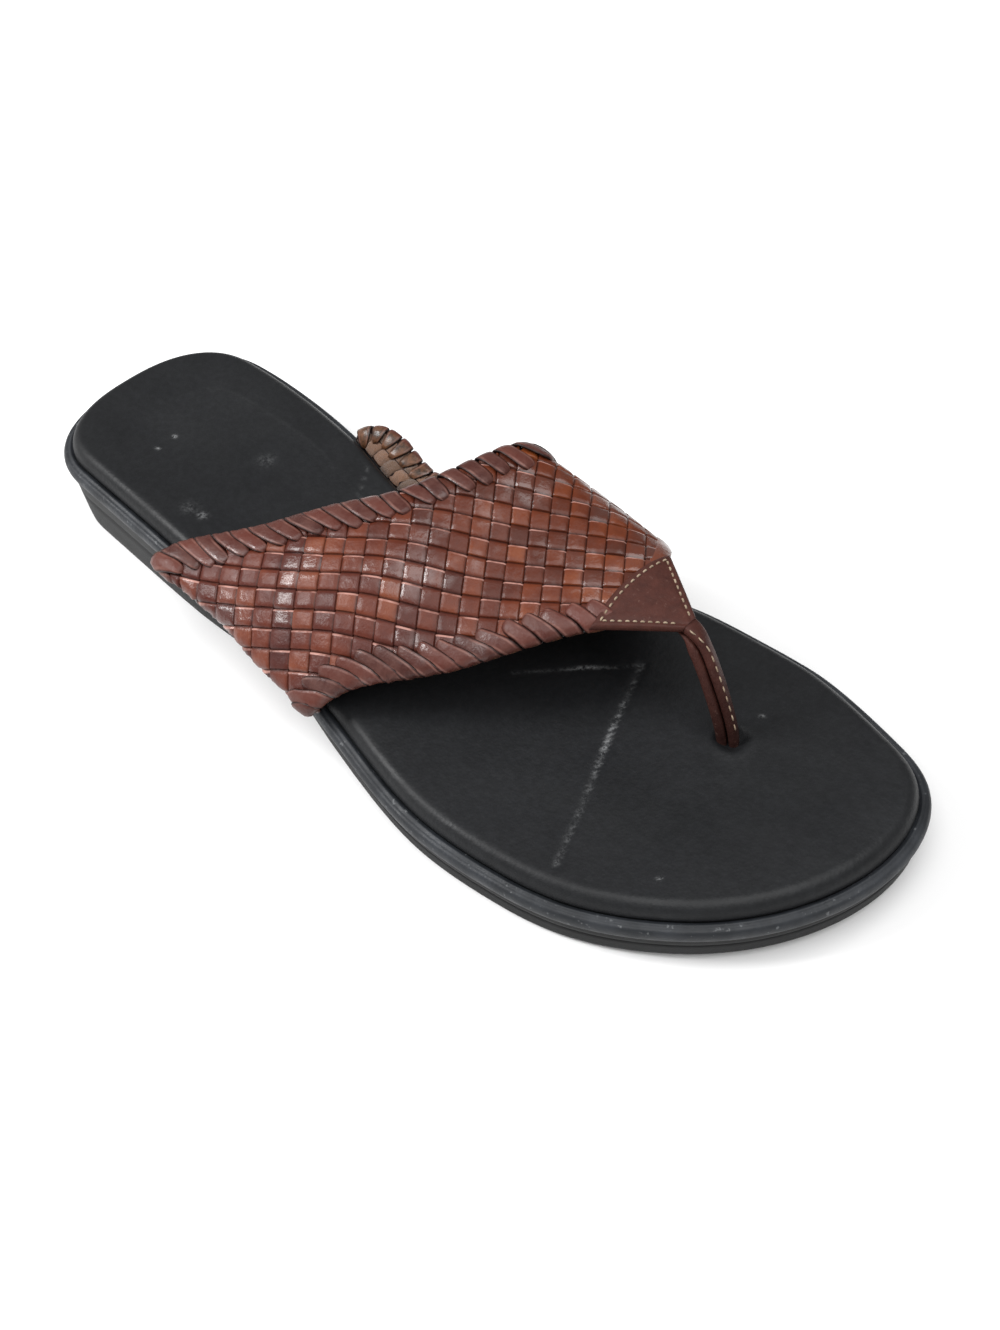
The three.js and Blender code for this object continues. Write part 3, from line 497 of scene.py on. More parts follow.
# The band laid flat: x along the foot and girth across it, measured from the crown along the outer face
FLAT_STEP, FLAT_FROM, GIRTH_REACH = 0.5, 50.0, 110.0
flat_x = np.arange(FLAT_FROM, 207, FLAT_STEP)
flat_girth = np.arange(-GIRTH_REACH, GIRTH_REACH, FLAT_STEP)
places = np.linspace(0, LAST_KNOT, 651)
curves = smooth_line(section_knots(flat_x), places)
girths = np.pad(np.cumsum(np.linalg.norm(np.diff(curves, axis=1), axis=-1), 1), ((0, 0), (1, 0)))
girths -= girths[:, [int(np.argmin(abs(places - CROWN)))]]
knot_at = np.array([np.interp(flat_girth, row, places) for row in girths])
face_y, face_z = (np.array([np.interp(flat_girth, row, part) for row, part in zip(girths, parts)])
                  for parts in np.moveaxis(curves, 2, 0))
along_y, across_y = np.gradient(face_y, FLAT_STEP)
along_z, across_z = np.gradient(face_z, FLAT_STEP)
face_normal = np.stack([along_y * across_z - along_z * across_y, -across_z, across_y], -1)
face_normal /= np.maximum(np.linalg.norm(face_normal, axis=-1, keepdims=True), 1e-6)
FACE = np.concatenate([face_y[..., None], face_z[..., None], face_normal], -1)


def read_between(table, x, columns):
    """A table with a row for each flat step of x, read between its rows and columns, straight along both."""
    rows = (x - FLAT_FROM) / FLAT_STEP
    i = np.clip(rows.astype(int), 0, table.shape[0] - 2)
    k = np.clip(columns.astype(int), 0, table.shape[1] - 2)
    s, t = (np.clip(v, 0, 1).reshape(v.shape + (1,) * (table.ndim - 2)) for v in (rows - i, columns - k))
    return ((table[i, k] * (1 - s) + table[i + 1, k] * s) * (1 - t)
            + (table[i, k + 1] * (1 - s) + table[i + 1, k + 1] * s) * t)


def read_along(table, run, at):
    """Rows of a table read at places along its run."""
    return np.stack([np.interp(at, run, part) for part in table.T], -1)


def on_band(x, girth, lift):
    """Points at a distance off the outer face, over flat places of the band."""
    found = read_between(FACE, x, (girth + GIRTH_REACH) / FLAT_STEP)
    lift = np.broadcast_to(lift, np.shape(x))[..., None]
    return np.stack([x, found[..., 0], found[..., 1]], -1) + found[..., 2:] * lift


def knot_of(x, girth):
    """The knot place across the foot at flat places of the band."""
    return read_between(knot_at, x, (girth + GIRTH_REACH) / FLAT_STEP)


def edge_x(column, knots):
    """Places along the foot of the throat edge, column 1, or the front edge, column 2, at knot places."""
    return LENGTH * through(EDGES[:, 0], EDGES[:, column], knots)


def girth_of(x, knots):
    """The girth at knot places along the foot."""
    return read_between(girths, x, knots / (places[1] - places[0]))


def edge_line(column, low, high):
    """The throat or front edge as a flat line, with its evenly run length."""
    knots = np.linspace(low, high, 1500)
    x = edge_x(column, knots)
    line = np.column_stack([x, girth_of(x, knots)])
    run = run_along(line)
    even = np.linspace(0, run[-1], 800)
    return read_along(line, run, even), even


def tidy_mesh(points, faces, *values):
    """Only the points that faces use, with the faces and values renumbered to match."""
    used, numbers = np.unique(faces, return_inverse=True)
    return (points[used], numbers.reshape(faces.shape), *(value[used] for value in values))


def as_one(meshes):
    """Several lots of points and faces as one, its faces renumbered to match."""
    firsts = np.cumsum([0] + [len(points) for points, _ in meshes[:-1]])
    return (np.concatenate([points for points, _ in meshes]),
            np.concatenate([faces + first for (_, faces), first in zip(meshes, firsts)]))


# Where the strips cross on the flat band, in cubic terms of tens of strips: 1, u, v, uu, uv, vv, uuu, uuv,
# uvv, vvv. Across the top they lie 4.8 millimetres apart and some 35 degrees aslant, and they are pulled
# wider and straighter down the outer side.
STRIP_LIE = np.array([
    [153.3, 39.26, -28.94, -3.136, 0.097, -1.203, 0.432, 1.812, 0.113, 0.395],
    [16.15, 25.54, 37.99, 2.234, -3.509, -0.284, -0.303, -0.684, 2.331, 0.341],
])
STRIP_REACH, STRIP_HALF, STRIP_FLAT, STRIP_DIVE = 28, (0.455, 0.488), 3.6, -0.62
EDGE_MARGIN, KNOTS_SHOWN = 0.7, (2.2, 10.8)
SIDES = np.array([-1, -0.99, -0.97, -0.94, -0.89, -0.35, 0.35, 0.74, 0.89, 0.94, 0.97, 0.99, 1])
TONES = 128
chance = np.random.default_rng(7)
STRIP_TONES = chance.random((2, TONES))
CELL_TONES = chance.random((TONES, TONES))


def woven_strips(step, across, middle, wave, dip, root, inside):
    """Both families of strips of a plain weave. In strip widths, u and v run along the families; a strip's
    height is its middle plus a flattened cosine of half turns, up over one neighbour and down under the
    next, less a crown that falls off to its turned edges. Its sides go down to the root depth, inside the
    backing. Returns points, faces and the values kept at the points."""
    number, run, side = np.meshgrid(np.arange(-STRIP_REACH, STRIP_REACH),
                                    np.arange(-STRIP_REACH, STRIP_REACH + step, step), across, indexing="ij")
    shape = number.shape
    sheets = []
    for family in (0, 1):
        centre = number + 0.5 + STRIP_HALF[family] * side
        u, v = (run / 10, centre / 10) if family == 0 else (centre / 10, run / 10)
        terms = (1, u, v, u * u, u * v, v * v, u ** 3, u * u * v, u * v * v, v ** 3)
        x, girth = (sum(weight * term for weight, term in zip(row, terms)) for row in STRIP_LIE)
        over = np.cos(np.pi * (run - 0.5 + number)) * (1 - 2 * family) * (-1 if inside else 1)
        lift = middle + wave * np.tanh(STRIP_FLAT * over) / math.tanh(STRIP_FLAT)
        lift = lift - dip * (0.06 * side ** 2 + ease(0.90, 1.0, abs(side)))
        knot = knot_of(x, girth)
        shown = (x > edge_x(1, knot) + EDGE_MARGIN) & (x < edge_x(2, knot) - EDGE_MARGIN)
        shown &= (knot > KNOTS_SHOWN[0]) & (knot < KNOTS_SHOWN[1]) & (over > STRIP_DIVE)
        index = np.arange(number.size).reshape(shape)
        faces = np.stack([index[:, :-1, :-1], index[:, 1:, :-1], index[:, 1:, 1:], index[:, :-1, 1:]], -1)
        faces = faces.reshape(-1, 4)[:, ::-1 if family else 1]
        faces = faces[shown.reshape(-1)[faces].all(1)]
        cell = CELL_TONES[(np.floor(run).astype(int) + TONES // 2) % TONES, number + TONES // 2]
        tone = 0.45 * STRIP_TONES[family][number + TONES // 2] + 0.55 * cell
        off = np.where(abs(side) < 1, -WALL - lift if inside else lift, root)
        points = on_band(x, girth, off).reshape(-1, 3)
        highlight_side = side * (1 - family)
        values = [np.broadcast_to(value, shape).reshape(-1) for value in (tone, highlight_side, over, knot)]
        sheets.append(tidy_mesh(points, faces, *values))
    points, faces = as_one([sheet[:2] for sheet in sheets])
    values = (np.concatenate(value) for value in zip(*(sheet[2:] for sheet in sheets)))
    return points, faces[:, ::-1] if inside else faces, dict(zip(("tone", "side", "over", "knot"), values))


def strip_leather():
    """Smooth red-brown strips: each cell its own tone, warmer towards the inner ridge, with painted shade
    where a strip dives and a painted highlight along one family's upper edge, under a thin uneven gloss."""
    material, tree, shader = new_material("woven_leather", Specular_IOR_Level=0.22, Coat_Roughness=0.16)
    tone, side, over, knot = kept(tree, "tone", "side", "over", "knot")
    mixed = maths(tree, "ADD", tone, maths(tree, "ADD", noise(tree, 140, 5, 0.6), -0.5))
    colour = ramp(tree, mixed, [(0.10, (0.046, 0.0106, 0.0078)), (0.45, (0.068, 0.0146, 0.0090)),
                                (0.75, (0.098, 0.0225, 0.0118)), (1.0, (0.140, 0.038, 0.019))])
    warm = ramp(tree, maths(tree, "MULTIPLY", knot, 0.1), [(0.56, (1, 1, 1)), (0.80, (1.22, 1.16, 0.62))])
    colour = blend(tree, 1.0, colour, warm, "MULTIPLY")
    # Painted shade: the strip darkens where it dives under its neighbour.
    colour = blend(tree, ramp(tree, over, [(0.0, 0.7), (0.26, 0.0)]), colour, (0.016, 0.006, 0.005, 1))
    # Painted highlight: one family's upper edge made pale as if the light caught it, broken up by noise.
    rubbed = blend(tree, 1.0, ramp(tree, side, [(0.74, 0.0), (0.80, 0.9)]),
                   cloudy(tree, [(0.38, 0.1), (0.60, 1.0)], 200, 4), "MULTIPLY")
    grain = bump(tree, noise(tree, 1300, 4, 0.65), 0.00012, 0.7)
    grain = bump(tree, noise(tree, 320, 3), 0.00045, 0.6, grain)
    wire(shader, Base_Color=blend(tree, rubbed, colour, (0.40, 0.21, 0.175, 1)),
         Roughness=cloudy(tree, [(0.3, 0.30), (0.7, 0.50)], 220, 4),
         Coat_Weight=cloudy(tree, [(0.50, 0.0), (0.64, 0.85)], 75, 3),
         Normal=grain, Coat_Normal=grain)
    return material


def flesh_side():
    """The raw back of the strips: tan, matt and fuzzy, blotched with dark stain."""
    material, tree, shader = new_material("flesh_side", Roughness=0.95, Specular_IOR_Level=0.15,
                                          Sheen_Weight=0.25, Sheen_Roughness=0.6)
    colour = ramp(tree, kept(tree, "tone")[0], [(0.15, (0.075, 0.040, 0.022)), (0.85, (0.165, 0.078, 0.040))])
    stain = cloudy(tree, [(0.5, 0.0), (0.72, 0.8)], 150, 6, 0.7)
    wire(shader, Base_Color=blend(tree, stain, colour, (0.030, 0.014, 0.008, 1)),
         Normal=bump(tree, noise(tree, 1600, 6, 0.8), 0.0006, 1.0))
    return material


def on_upper(thing):
    """What every piece of the upper shares: it stands for the woven band and keeps still with the sole."""
    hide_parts("upper")
    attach(thing, "root")


woven_leather = strip_leather()
points, faces, values = woven_strips(0.125, SIDES, 0.40, 0.42, 0.26, -0.3, False)
on_upper(make_piece("outer_strips", points, faces, woven_leather, values))
points, faces, values = woven_strips(0.25, SIDES[[0, 1, 3, 5, 6, 9, 11, 12]], -0.45, 0.36, 0.25, -0.95, True)
on_upper(make_piece("inner_strips", points, faces, flesh_side(), {"tone": values["tone"]}))


def backing_wall():
    """The thin backing between the two faces of the weave: the band's own shape from under the footbed on one
    side to the other, its outer face 0.15 and its inner face 1.1 millimetres in."""
    knots = np.linspace(1.6, LAST_KNOT - 1.6, 240)
    share = np.linspace(0, 1, 40)
    back, front = (edge_x(column, knots) for column in (1, 2))
    x = (back + 0.3)[:, None] + (front - back - 0.6)[:, None] * share
    girth = girth_of(x, np.broadcast_to(knots[:, None], x.shape))
    low, high = (on_band(x, girth, lift) for lift in (-1.1, -0.15))
    rows = np.concatenate([high, low[:, ::-1]], 1)
    return rows.reshape(-1, 3), tube_faces(*rows.shape[:2])


# The backing's dark brown is painted shade, seen only through the gaps between the strips.
gap_shade_backing, tree, shader = new_material("gap_shade_backing", Roughness=0.9, Specular_IOR_Level=0.2)
browns = [(0.3, (0.012, 0.006, 0.005)), (0.7, (0.030, 0.013, 0.010))]
wire(shader, Base_Color=cloudy(tree, browns, 300, 4))
on_upper(make_piece("backing", *backing_wall(), gap_shade_backing))

# Lacing: one leather lace whipped round the throat and round the front edge. Each loop comes up through the
# band, crosses it aslant as a leaf with a rounded end, and turns over the edge to the inside. A smooth strip
# folded over the front edge binds the band's point.
LACE_PITCH, LACE_WIDE, LACE_THICK, LACE_TILT = 4.8, 3.8, 0.5, 0.38
FOLD_HALF, FOLD_IN, FOLD_THICK = 2.4, 1.9, 1.62
ROUND = 12
LOOP = np.array([
    # share of the path, along, in, lift, width, thickness
    [0, 100, 100, 20, 35, 35],
    [5, 97, 97, 80, 62, 85],
    [14, 88, 88, 120, 88, 100],
    [30, 66, 64, 145, 100, 100],
    [45, 38, 34, 145, 102, 100],
    [56, 14, 5, 105, 110, 100],
    [64, 0, -10, 0, 115, 100],
    [72, -6, -9, -120, 115, 95],
    [80, -12, 6, -185, 110, 85],
    [92, -22, 40, -195, 100, 75],
    [100, -30, 62, -150, 55, 50],
]) / 100


def flatter(wave, power):
    """A sine or cosine made flatter by a power below one, its sign kept."""
    return np.sign(wave) * abs(wave) ** power


def copies(faces, count, size):
    """The faces of one shape of size points, repeated for each of its copies."""
    return (faces[None] + (np.arange(count) * size)[:, None, None]).reshape(-1, 4)


def lace_loops(column, low, high, reach, leans, proud):
    """Loops along an edge line. Each is a flattened ring carried along a path in edge coordinates: along the
    edge, in from it, and off the band. leans is how far the leaf's inner end lies ahead of its turn, where
    the line starts and where it ends. Each leaf lies over the one before it and under the next."""
    line, run = edge_line(column, low, high)
    count = int(run[-1] / LACE_PITCH)
    at = (np.arange(count) + 0.5) * run[-1] / count
    wobble = np.random.default_rng(column + 3).normal(0, 1, (3, count))
    share = np.linspace(0, 1, 19) ** 1.05
    along, inn, lift, wide, thick = (through(LOOP[:, 0], value, share) for value in LOOP[:, 1:].T)
    lean = leans[0] + (leans[1] - leans[0]) * ease(45, 80, at) + 0.5 * wobble[0]
    deep = reach * (1 + 0.05 * wobble[1])
    off = np.where(lift > 0, lift * proud, lift) * (1 + 0.05 * wobble[2])[:, None]
    path = np.stack([along * lean[:, None], inn * deep[:, None], off], -1)
    ahead = unit(np.gradient(path, axis=1))
    turned = lean[:, None] * (1 - ease(0.45, 0.62, share))
    leaf = np.stack([np.broadcast_to(-deep[:, None], turned.shape), turned, np.zeros_like(turned)], -1)
    leaf = unit(leaf - np.sum(leaf * ahead, -1, keepdims=True) * ahead)
    up = np.cross(leaf, ahead)
    turn = np.linspace(0, 2 * np.pi, ROUND, endpoint=False)
    round_out = flatter(np.sin(turn), 0.7) * LACE_THICK
    tilt = LACE_TILT * np.cos(turn) * (1 if column == 1 else -1)
    flat_part = (ease(0.0, 0.12, share) * (1 - ease(0.5, 0.62, share)))[:, None]
    ring = (path[:, :, None]
            + leaf[:, :, None] * (np.cos(turn) * (LACE_WIDE / 2 * wide)[:, None])[..., None]
            + up[:, :, None] * (round_out * thick[:, None] + tilt * flat_part)[..., None])
    place = at[:, None, None] + ring[..., 0]
    way_line = np.pad(np.gradient(line, run[1], axis=0), ((20, 20), (0, 0)), mode="edge")
    way_line = unit(np.stack([np.convolve(part, np.ones(41) / 41, "valid") for part in way_line.T], -1))
    edge, way = (read_along(table, run, place) for table in (line, way_line))
    past_end = place - np.clip(place, 0, run[-1])
    inward = np.stack([way[..., 1], -way[..., 0]], -1) * (1 if column == 1 else -1)
    flat = edge + way * past_end[..., None] + inward * ring[..., 1][..., None]
    points = on_band(flat[..., 0], flat[..., 1], ring[..., 2])
    size = len(share) * ROUND
    faces = copies(tube_faces(len(share), ROUND), count, size)
    values = {"tone": np.repeat(np.random.default_rng(column).random(count), size),
              "side": np.tile(abs(np.cos(turn)), (count, len(share), 1)).reshape(-1),
              "inside": ease(0.5, 1.3, -ring[..., 2]).reshape(-1)}
    return points.reshape(-1, 3), faces[:, ::1 if column == 1 else -1], values


def lace_leather():
    """The lace: the strips' leather, darker and duller, with pale rubbed ridges and dark sides, and its tan
    flesh side where it turns inside."""
    material, tree, shader = new_material("lace_leather", Specular_IOR_Level=0.26, Coat_Roughness=0.2)
    tone, side, inside = kept(tree, "tone", "side", "inside")
    colour = ramp(tree, tone, [(0.1, (0.040, 0.0105, 0.0080)), (0.9, (0.086, 0.0205, 0.0135))])
    cloud = cloudy(tree, [(0.35, 0.0), (0.72, 0.6)], 260, 5, 0.7)
    colour = blend(tree, cloud, colour, (0.105, 0.042, 0.032, 1))
    tans = [(0.38, (0.020, 0.0105, 0.006)), (0.62, (0.125, 0.054, 0.026))]
    colour = blend(tree, inside, colour, cloudy(tree, tans, 300, 6, 0.8))
    ridge = blend(tree, 1.0, ramp(tree, side, [(0.50, 0.0), (0.64, 0.4), (0.74, 0.4), (0.82, 0.0)]),
                  cloudy(tree, [(0.42, 0.0), (0.6, 1.0)], 190, 4), "MULTIPLY")
    colour = blend(tree, ridge, colour, (0.25, 0.125, 0.10, 1))
    colour = blend(tree, ramp(tree, side, [(0.78, 0.0), (0.96, 0.95)]), colour, (0.009, 0.004, 0.0035, 1))
    grain = bump(tree, noise(tree, 1400, 4, 0.65), 0.00012, 0.6)
    grain = bump(tree, noise(tree, 420, 3), 0.00045, 0.6, grain)
    wire(shader, Base_Color=colour,
         Roughness=cloudy(tree, [(0.3, 0.34), (0.7, 0.55)], 260, 4),
         Coat_Weight=cloudy(tree, [(0.52, 0.0), (0.64, 0.7)], 110, 3),
         Normal=grain, Coat_Normal=grain)
    return material


lace = lace_leather()
for name, column, low, high, reach, leans, proud in (
        ("throat_lacing", 1, 3.1, 9.95, 7.6, (8.3, 3.2), 1.0),
        ("front_lacing_outer", 2, 3.1, 7.30, 5.8, (-8.6, -5.0), 0.9),
        ("front_lacing_inner", 2, 9.15, 9.95, 5.8, (-5.0, -5.0), 0.9)):
    points, faces, values = lace_loops(column, low, high, reach, leans, proud)
    on_upper(make_piece(name, points, faces, lace, values))


def folded_edge(low, high):
    """The band's front edge bound at its point by a strip of smooth leather turned over it: a flattened ring
    carried along the edge, some four millimetres of it on top of the strips."""
    line, _ = edge_line(2, low, high)
    line = line[::8]
    ahead = unit(np.gradient(line, axis=0))
    turn = np.linspace(0, 2 * np.pi, ROUND, endpoint=False)
    out = np.stack([ahead[:, 1], -ahead[:, 0]], -1)
    flat = line[:, None] + out[:, None] * (FOLD_HALF * np.cos(turn) - FOLD_IN)[:, None]
    rings = on_band(flat[..., 0], flat[..., 1], FOLD_THICK * flatter(np.sin(turn), 0.5) - 0.5)
    return rings.reshape(-1, 3), tube_faces(len(rings), ROUND)[:, ::-1]


points, faces = folded_edge(7.25, 9.25)
alike = {"tone": 0.55, "side": 0.0, "over": 1.0, "knot": 8.2}
on_upper(make_piece("front_fold", points, faces, woven_leather,
                    {name: np.full(len(points), value) for name, value in alike.items()}))

# Toe strap: a smooth brown leather patch stitched over the point of the band, three-cornered with its back
# edge bowed, folded under in front, whose two tails lie back to back and go down between the toes.
PATCH_OUTER, PATCH_INNER, PATCH_TIP = (0.686, 0.130), (0.684, 0.702), (0.750, 0.446)
PATCH_BOW, PATCH_THICK, PATCH_DEEP, PATCH_WIDE = 1.82, 1.5, 17, 24
SEAM_IN, SEAM_NARROW, STITCH_SIZE = 1.5, 19.6, 0.26
TAIL_WIDE, TAIL_PLY, TAIL_POWER = 4.6, 2.7, 0.62
ROOT_AT, ROOT_SIDE, TAIL_TURN = 0.808, 0.406, 36
TAIL = np.array([[-0.35, 0.95], [0.05, 0.95], [0.26, 0.86], [0.46, 0.71], [0.70, 0.49], [0.90, 0.26],
                 [1.00, 0.06], [1.00, -0.08]])
PLAN_STEP = 0.25
plan_y = np.arange(0, 42, PLAN_STEP)
top_places = (knot_at > 6) & (knot_at < 8.5)
girth_over = np.array([np.interp(plan_y, ys[top], flat_girth[top]) for ys, top in zip(face_y, top_places)])


def patch_flat(to_tip, to_inner):
    """Flat places of the patch: from its bowed back edge to its tip, from its outer to its inner side."""
    bow = PATCH_BOW * 4 * to_inner * (1 - to_inner)
    back_x = LENGTH * (PATCH_OUTER[0] + (PATCH_INNER[0] - PATCH_OUTER[0]) * to_inner) - bow
    back_y = HALF_BALL * (PATCH_OUTER[1] + (PATCH_INNER[1] - PATCH_OUTER[1]) * to_inner)
    x = back_x + (LENGTH * PATCH_TIP[0] - back_x) * to_tip
    y = back_y + (HALF_BALL * PATCH_TIP[1] + TAIL_WIDE * (to_inner - 0.5) - back_y) * to_tip
    return x, read_between(girth_over, x, y / PLAN_STEP)


def patch_plate():
    """The patch as a closed plate: its top rounds down to its underside at the border, and pillows a little
    between the stitch rows."""
    a = (1 - np.cos(np.linspace(0, np.pi, 34))) / 2
    b = (1 - np.cos(np.linspace(0, np.pi, 44))) / 2
    to_tip, to_inner = np.meshgrid(a, b, indexing="ij")
    x, girth = patch_flat(to_tip, to_inner)
    wide = PATCH_WIDE * (1 - to_tip) + TAIL_WIDE * to_tip
    from_ends = np.minimum(to_tip * PATCH_DEEP, (1 - to_tip) * PATCH_DEEP + 3)
    border = np.minimum(from_ends, np.minimum(to_inner, 1 - to_inner) * wide)
    round_off = np.sqrt(np.maximum(1 - (1 - np.clip(border / 0.9, 0, 1)) ** 2, 0))
    sewn = 0.16 * bell(border - SEAM_IN - 0.1, 0.45)
    top = on_band(x, girth, FIT + 0.2 + (PATCH_THICK - 0.2 - sewn) * round_off)
    under = on_band(x, girth, FIT)
    rows, count = x.shape
    grid = quads(rows, count, False)
    index = np.arange(rows * count).reshape(rows, count)
    rim = np.concatenate([index[0], index[1:, -1], index[-1, -2::-1], index[-2:0:-1, 0]])
    wall = np.stack([rim, np.roll(rim, -1), np.roll(rim, -1) + rows * count, rim + rows * count], -1)
    faces = np.concatenate([grid[:, ::-1], grid + rows * count, wall])
    return np.concatenate([top.reshape(-1, 3), under.reshape(-1, 3)]), faces


tip_x, tip_girth = patch_flat(np.array([1.0]), np.array([0.5]))
tip = on_band(tip_x, tip_girth, 0.0)[0]
root_x = LENGTH * ROOT_AT
root = np.array([root_x, HALF_BALL * ROOT_SIDE, float(seat_z(np.array([root_x]))[0]) + FIT])
tail_knots = np.column_stack([*(tip[k] + TAIL[:, 0] * (root[k] - tip[k]) for k in (0, 1)),
                              root[2] + TAIL[:, 1] * (tip[2] - root[2])])


def tail_frame(share):
    """Places down the tail's path with the directions across its plies and from the back ply to the front
    one, which turn towards the inner side below the patch."""
    middle = smooth_line(tail_knots[None], share)[0]
    ahead = unit(np.gradient(middle, axis=0))
    across = np.tile([0.0, 1.0, 0.0], (len(middle), 1))
    up = unit(np.cross(ahead, across))
    turn = np.radians(TAIL_TURN * ease(0.4, 2.2, share))[:, None]
    return middle, across * np.cos(turn) - up * np.sin(turn), up * np.cos(turn) + across * np.sin(turn)


def tail_ply(front):
    """One ply of the tail: a rounded strip carried down the path, the front ply before it and the back ply
    behind, a dark groove between them; the back ply thins out under the patch. front is +1 or -1."""
    share = np.linspace(0.15, 6.9, 46)
    middle, side, up = tail_frame(share)
    turn = np.linspace(0, 2 * np.pi, 20, endpoint=False)
    wide = TAIL_WIDE / 2 * flatter(np.cos(turn), TAIL_POWER)
    thick = front * 0.511 + 0.478 * flatter(np.sin(turn), TAIL_POWER)
    swell = 1 + 0.05 * np.sin(share * 2.1 + front)
    ply = np.full(len(share), TAIL_PLY) if front > 0 else TAIL_PLY * (0.1 + 0.9 * ease(0.3, 2.0, share))
    rings = (middle[:, None] + side[:, None] * wide[:, None] * swell[:, None, None]
             + (up * ply[:, None])[:, None] * thick[:, None])
    return rings.reshape(-1, 3), tube_faces(len(rings), len(turn))


def patch_leather():
    """Smooth brown leather, duller and browner than the strips, mottled and a little dusty, with painted
    shade darkening it lower down, towards the tails' ends."""
    material, tree, shader = new_material("patch_leather", Specular_IOR_Level=0.18)
    mottle = cloudy(tree, [(0.3, 0.0), (0.7, 1.0)], 240, 6, 0.7)
    colour = blend(tree, mottle, (0.034, 0.0098, 0.0070, 1), (0.062, 0.0185, 0.0128, 1))
    place = node(tree, "ShaderNodeTexCoord").outputs["Object"]
    # Painted shade: the leather darkens the lower it lies.
    height = node(tree, "ShaderNodeSeparateXYZ", [("Vector", place)]).outputs["Z"]
    shade = ramp(tree, maths(tree, "MULTIPLY", height, 20.0), [(0.35, (0.50, 0.60, 0.68)), (0.85, 1.0)])
    colour = blend(tree, 1.0, colour, shade, "MULTIPLY")
    dust = cloudy(tree, [(0.60, 0.0), (0.76, 0.22)], 900, 4, 0.7)
    grain = bump(tree, noise(tree, 1500, 5, 0.7), 0.00014, 0.7)
    wire(shader, Base_Color=blend(tree, dust, colour, (0.26, 0.16, 0.13, 1)),
         Roughness=cloudy(tree, [(0.3, 0.46), (0.7, 0.66)], 300, 4),
         Normal=bump(tree, noise(tree, 380, 3), 0.0004, 0.5, grain))
    return material


def on_toe_strap(thing):
    """What every piece of the toe strap shares."""
    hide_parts("toe_strap")
    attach(thing, "root")


smooth_brown = patch_leather()
on_toe_strap(make_piece("toe_patch", *patch_plate(), smooth_brown))
for name, front in (("tail_front_ply", 1), ("tail_back_ply", -1)):
    on_toe_strap(make_piece(name, *tail_ply(front), smooth_brown))


def stitch_row(line, lift, count, size):
    """Stitches along a row of points: each a short fat thread, round in section and pointed at both ends,
    dipping at its ends. line gives the row's points, lift the outward direction at each, size the half
    thickness."""
    run = run_along(line)
    along = (np.arange(count)[:, None] + np.linspace(0.14, 0.86, 7)) * (run[-1] / count)
    middle, out = (read_along(table, run, along) for table in (line, lift))
    ahead = unit(np.gradient(middle, axis=1))
    side = np.cross(ahead, out)
    thick = size * np.array([0.35, 0.85, 1, 1, 1, 0.85, 0.35])
    dip = 0.22 * np.array([-1.2, -0.1, 0.5, 0.6, 0.5, -0.1, -1.2])
    turn = np.linspace(0, 2 * np.pi, 6, endpoint=False)
    rings = ((middle + out * dip[:, None])[:, :, None]
             + (side[:, :, None] * np.cos(turn)[:, None]
                + out[:, :, None] * np.sin(turn)[:, None]) * thick[:, None, None])
    one = tube_faces(len(thick), len(turn))[:, ::-1]
    return rings.reshape(-1, 3), copies(one, count, len(thick) * len(turn))


def patch_row(to_tip, to_inner):
    """A line on the patch's top, with the direction off the band at each of its points."""
    x, girth = patch_flat(to_tip, to_inner)
    low, high = (on_band(x, girth, FIT + PATCH_THICK + lift) for lift in (-0.12, 0.88))
    return low, high - low


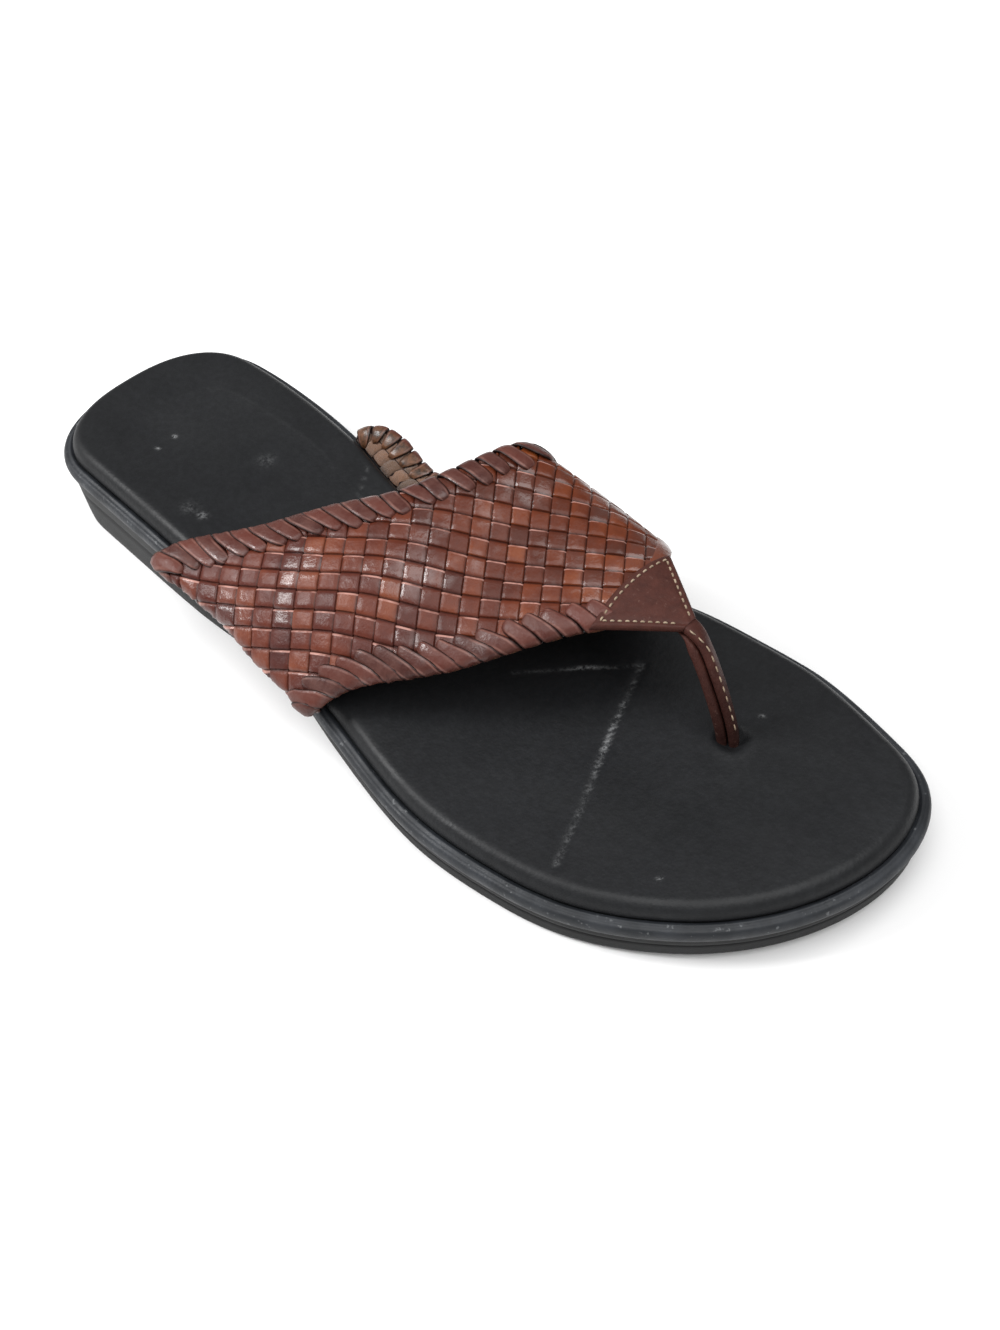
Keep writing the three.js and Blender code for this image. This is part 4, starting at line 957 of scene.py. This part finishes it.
thread, tree, shader = new_material("stitch_thread", Roughness=0.8, Specular_IOR_Level=0.25)
creams = [(0.3, (0.17, 0.12, 0.08)), (0.7, (0.34, 0.265, 0.19))]
wire(shader, Base_Color=cloudy(tree, creams, 900, 3))
share = np.linspace(0, 1, 60)
down_outer, down_inner = 0.09 + 0.80 * share, 0.09 + 0.86 * share
tail_line, tail_side, tail_front = tail_frame(np.linspace(0.9, 5.2, 60))
seam_line = tail_line + tail_front * TAIL_PLY * 0.90 - tail_side * TAIL_WIDE * 0.43
rows = [
    (*patch_row(np.full(60, 0.085), 0.05 + 0.90 * share), 12, STITCH_SIZE),
    (*patch_row(down_outer, SEAM_IN / (PATCH_WIDE - SEAM_NARROW * down_outer)), 10, STITCH_SIZE),
    (*patch_row(down_inner, 1 - SEAM_IN / (PATCH_WIDE - SEAM_NARROW * down_inner)), 9, STITCH_SIZE),
    (seam_line, tail_front * 0.5 - tail_side, 11, 0.17),
]
on_toe_strap(make_piece("patch_stitches", *as_one([stitch_row(*row) for row in rows]), thread))

# Floor, lights and camera: a plain pale floor under large soft lights, seen from in front of the toe, on the
# outer side and above, as the sandal stands in the photograph.
sheet = bpy.data.meshes.new("floor")
sheet.from_pydata([(-6, -6, 0), (6, -6, 0), (6, 6, 0), (-6, 6, 0)], [], [(0, 1, 2, 3)])
floor = bpy.data.objects.new("floor", sheet)
bpy.context.collection.objects.link(floor)
pale, tree, shader = new_material("pale_floor", Roughness=0.9, Specular_IOR_Level=0.2)
wire(shader, Base_Color=cloudy(tree, [(0.0, 0.80), (1.0, 0.84)], 3, 2))
sheet.materials.append(pale)


def soft_light(name, place, aim, size, power):
    """A square soft light at a place, turned to face its aim."""
    lamp = bpy.data.lights.new(name, "AREA")
    lamp.shape, lamp.size, lamp.energy = "SQUARE", size, power
    thing = bpy.data.objects.new(name, lamp)
    thing.location = place
    thing.rotation_euler = (Vector(aim) - Vector(place)).to_track_quat("-Z", "Y").to_euler()
    bpy.context.collection.objects.link(thing)


soft_light("window", (-0.64, -0.60, 0.76), (0, 0, 0.02), 0.42, 12)
soft_light("ceiling", (0.35, -0.15, 1.3), (0, 0, 0), 1.4, 22)
world = bpy.data.worlds.new("room")
world.use_nodes = True
sky = world.node_tree.nodes["Background"].inputs
sky["Color"].default_value = (1.0, 1.0, 1.0, 1)
sky["Strength"].default_value = 0.38
bpy.context.scene.world = world
bpy.context.scene.view_settings.view_transform = "Standard"

lens = bpy.data.cameras.new("camera")
lens.lens, lens.sensor_width = 42.8, 36.0
camera = bpy.data.objects.new("camera", lens)
camera.location = (0.21445, -0.17573, 0.31061)
camera.rotation_euler = np.radians([40.96, 2.86, 44.56])
bpy.context.collection.objects.link(camera)
bpy.context.scene.camera = camera
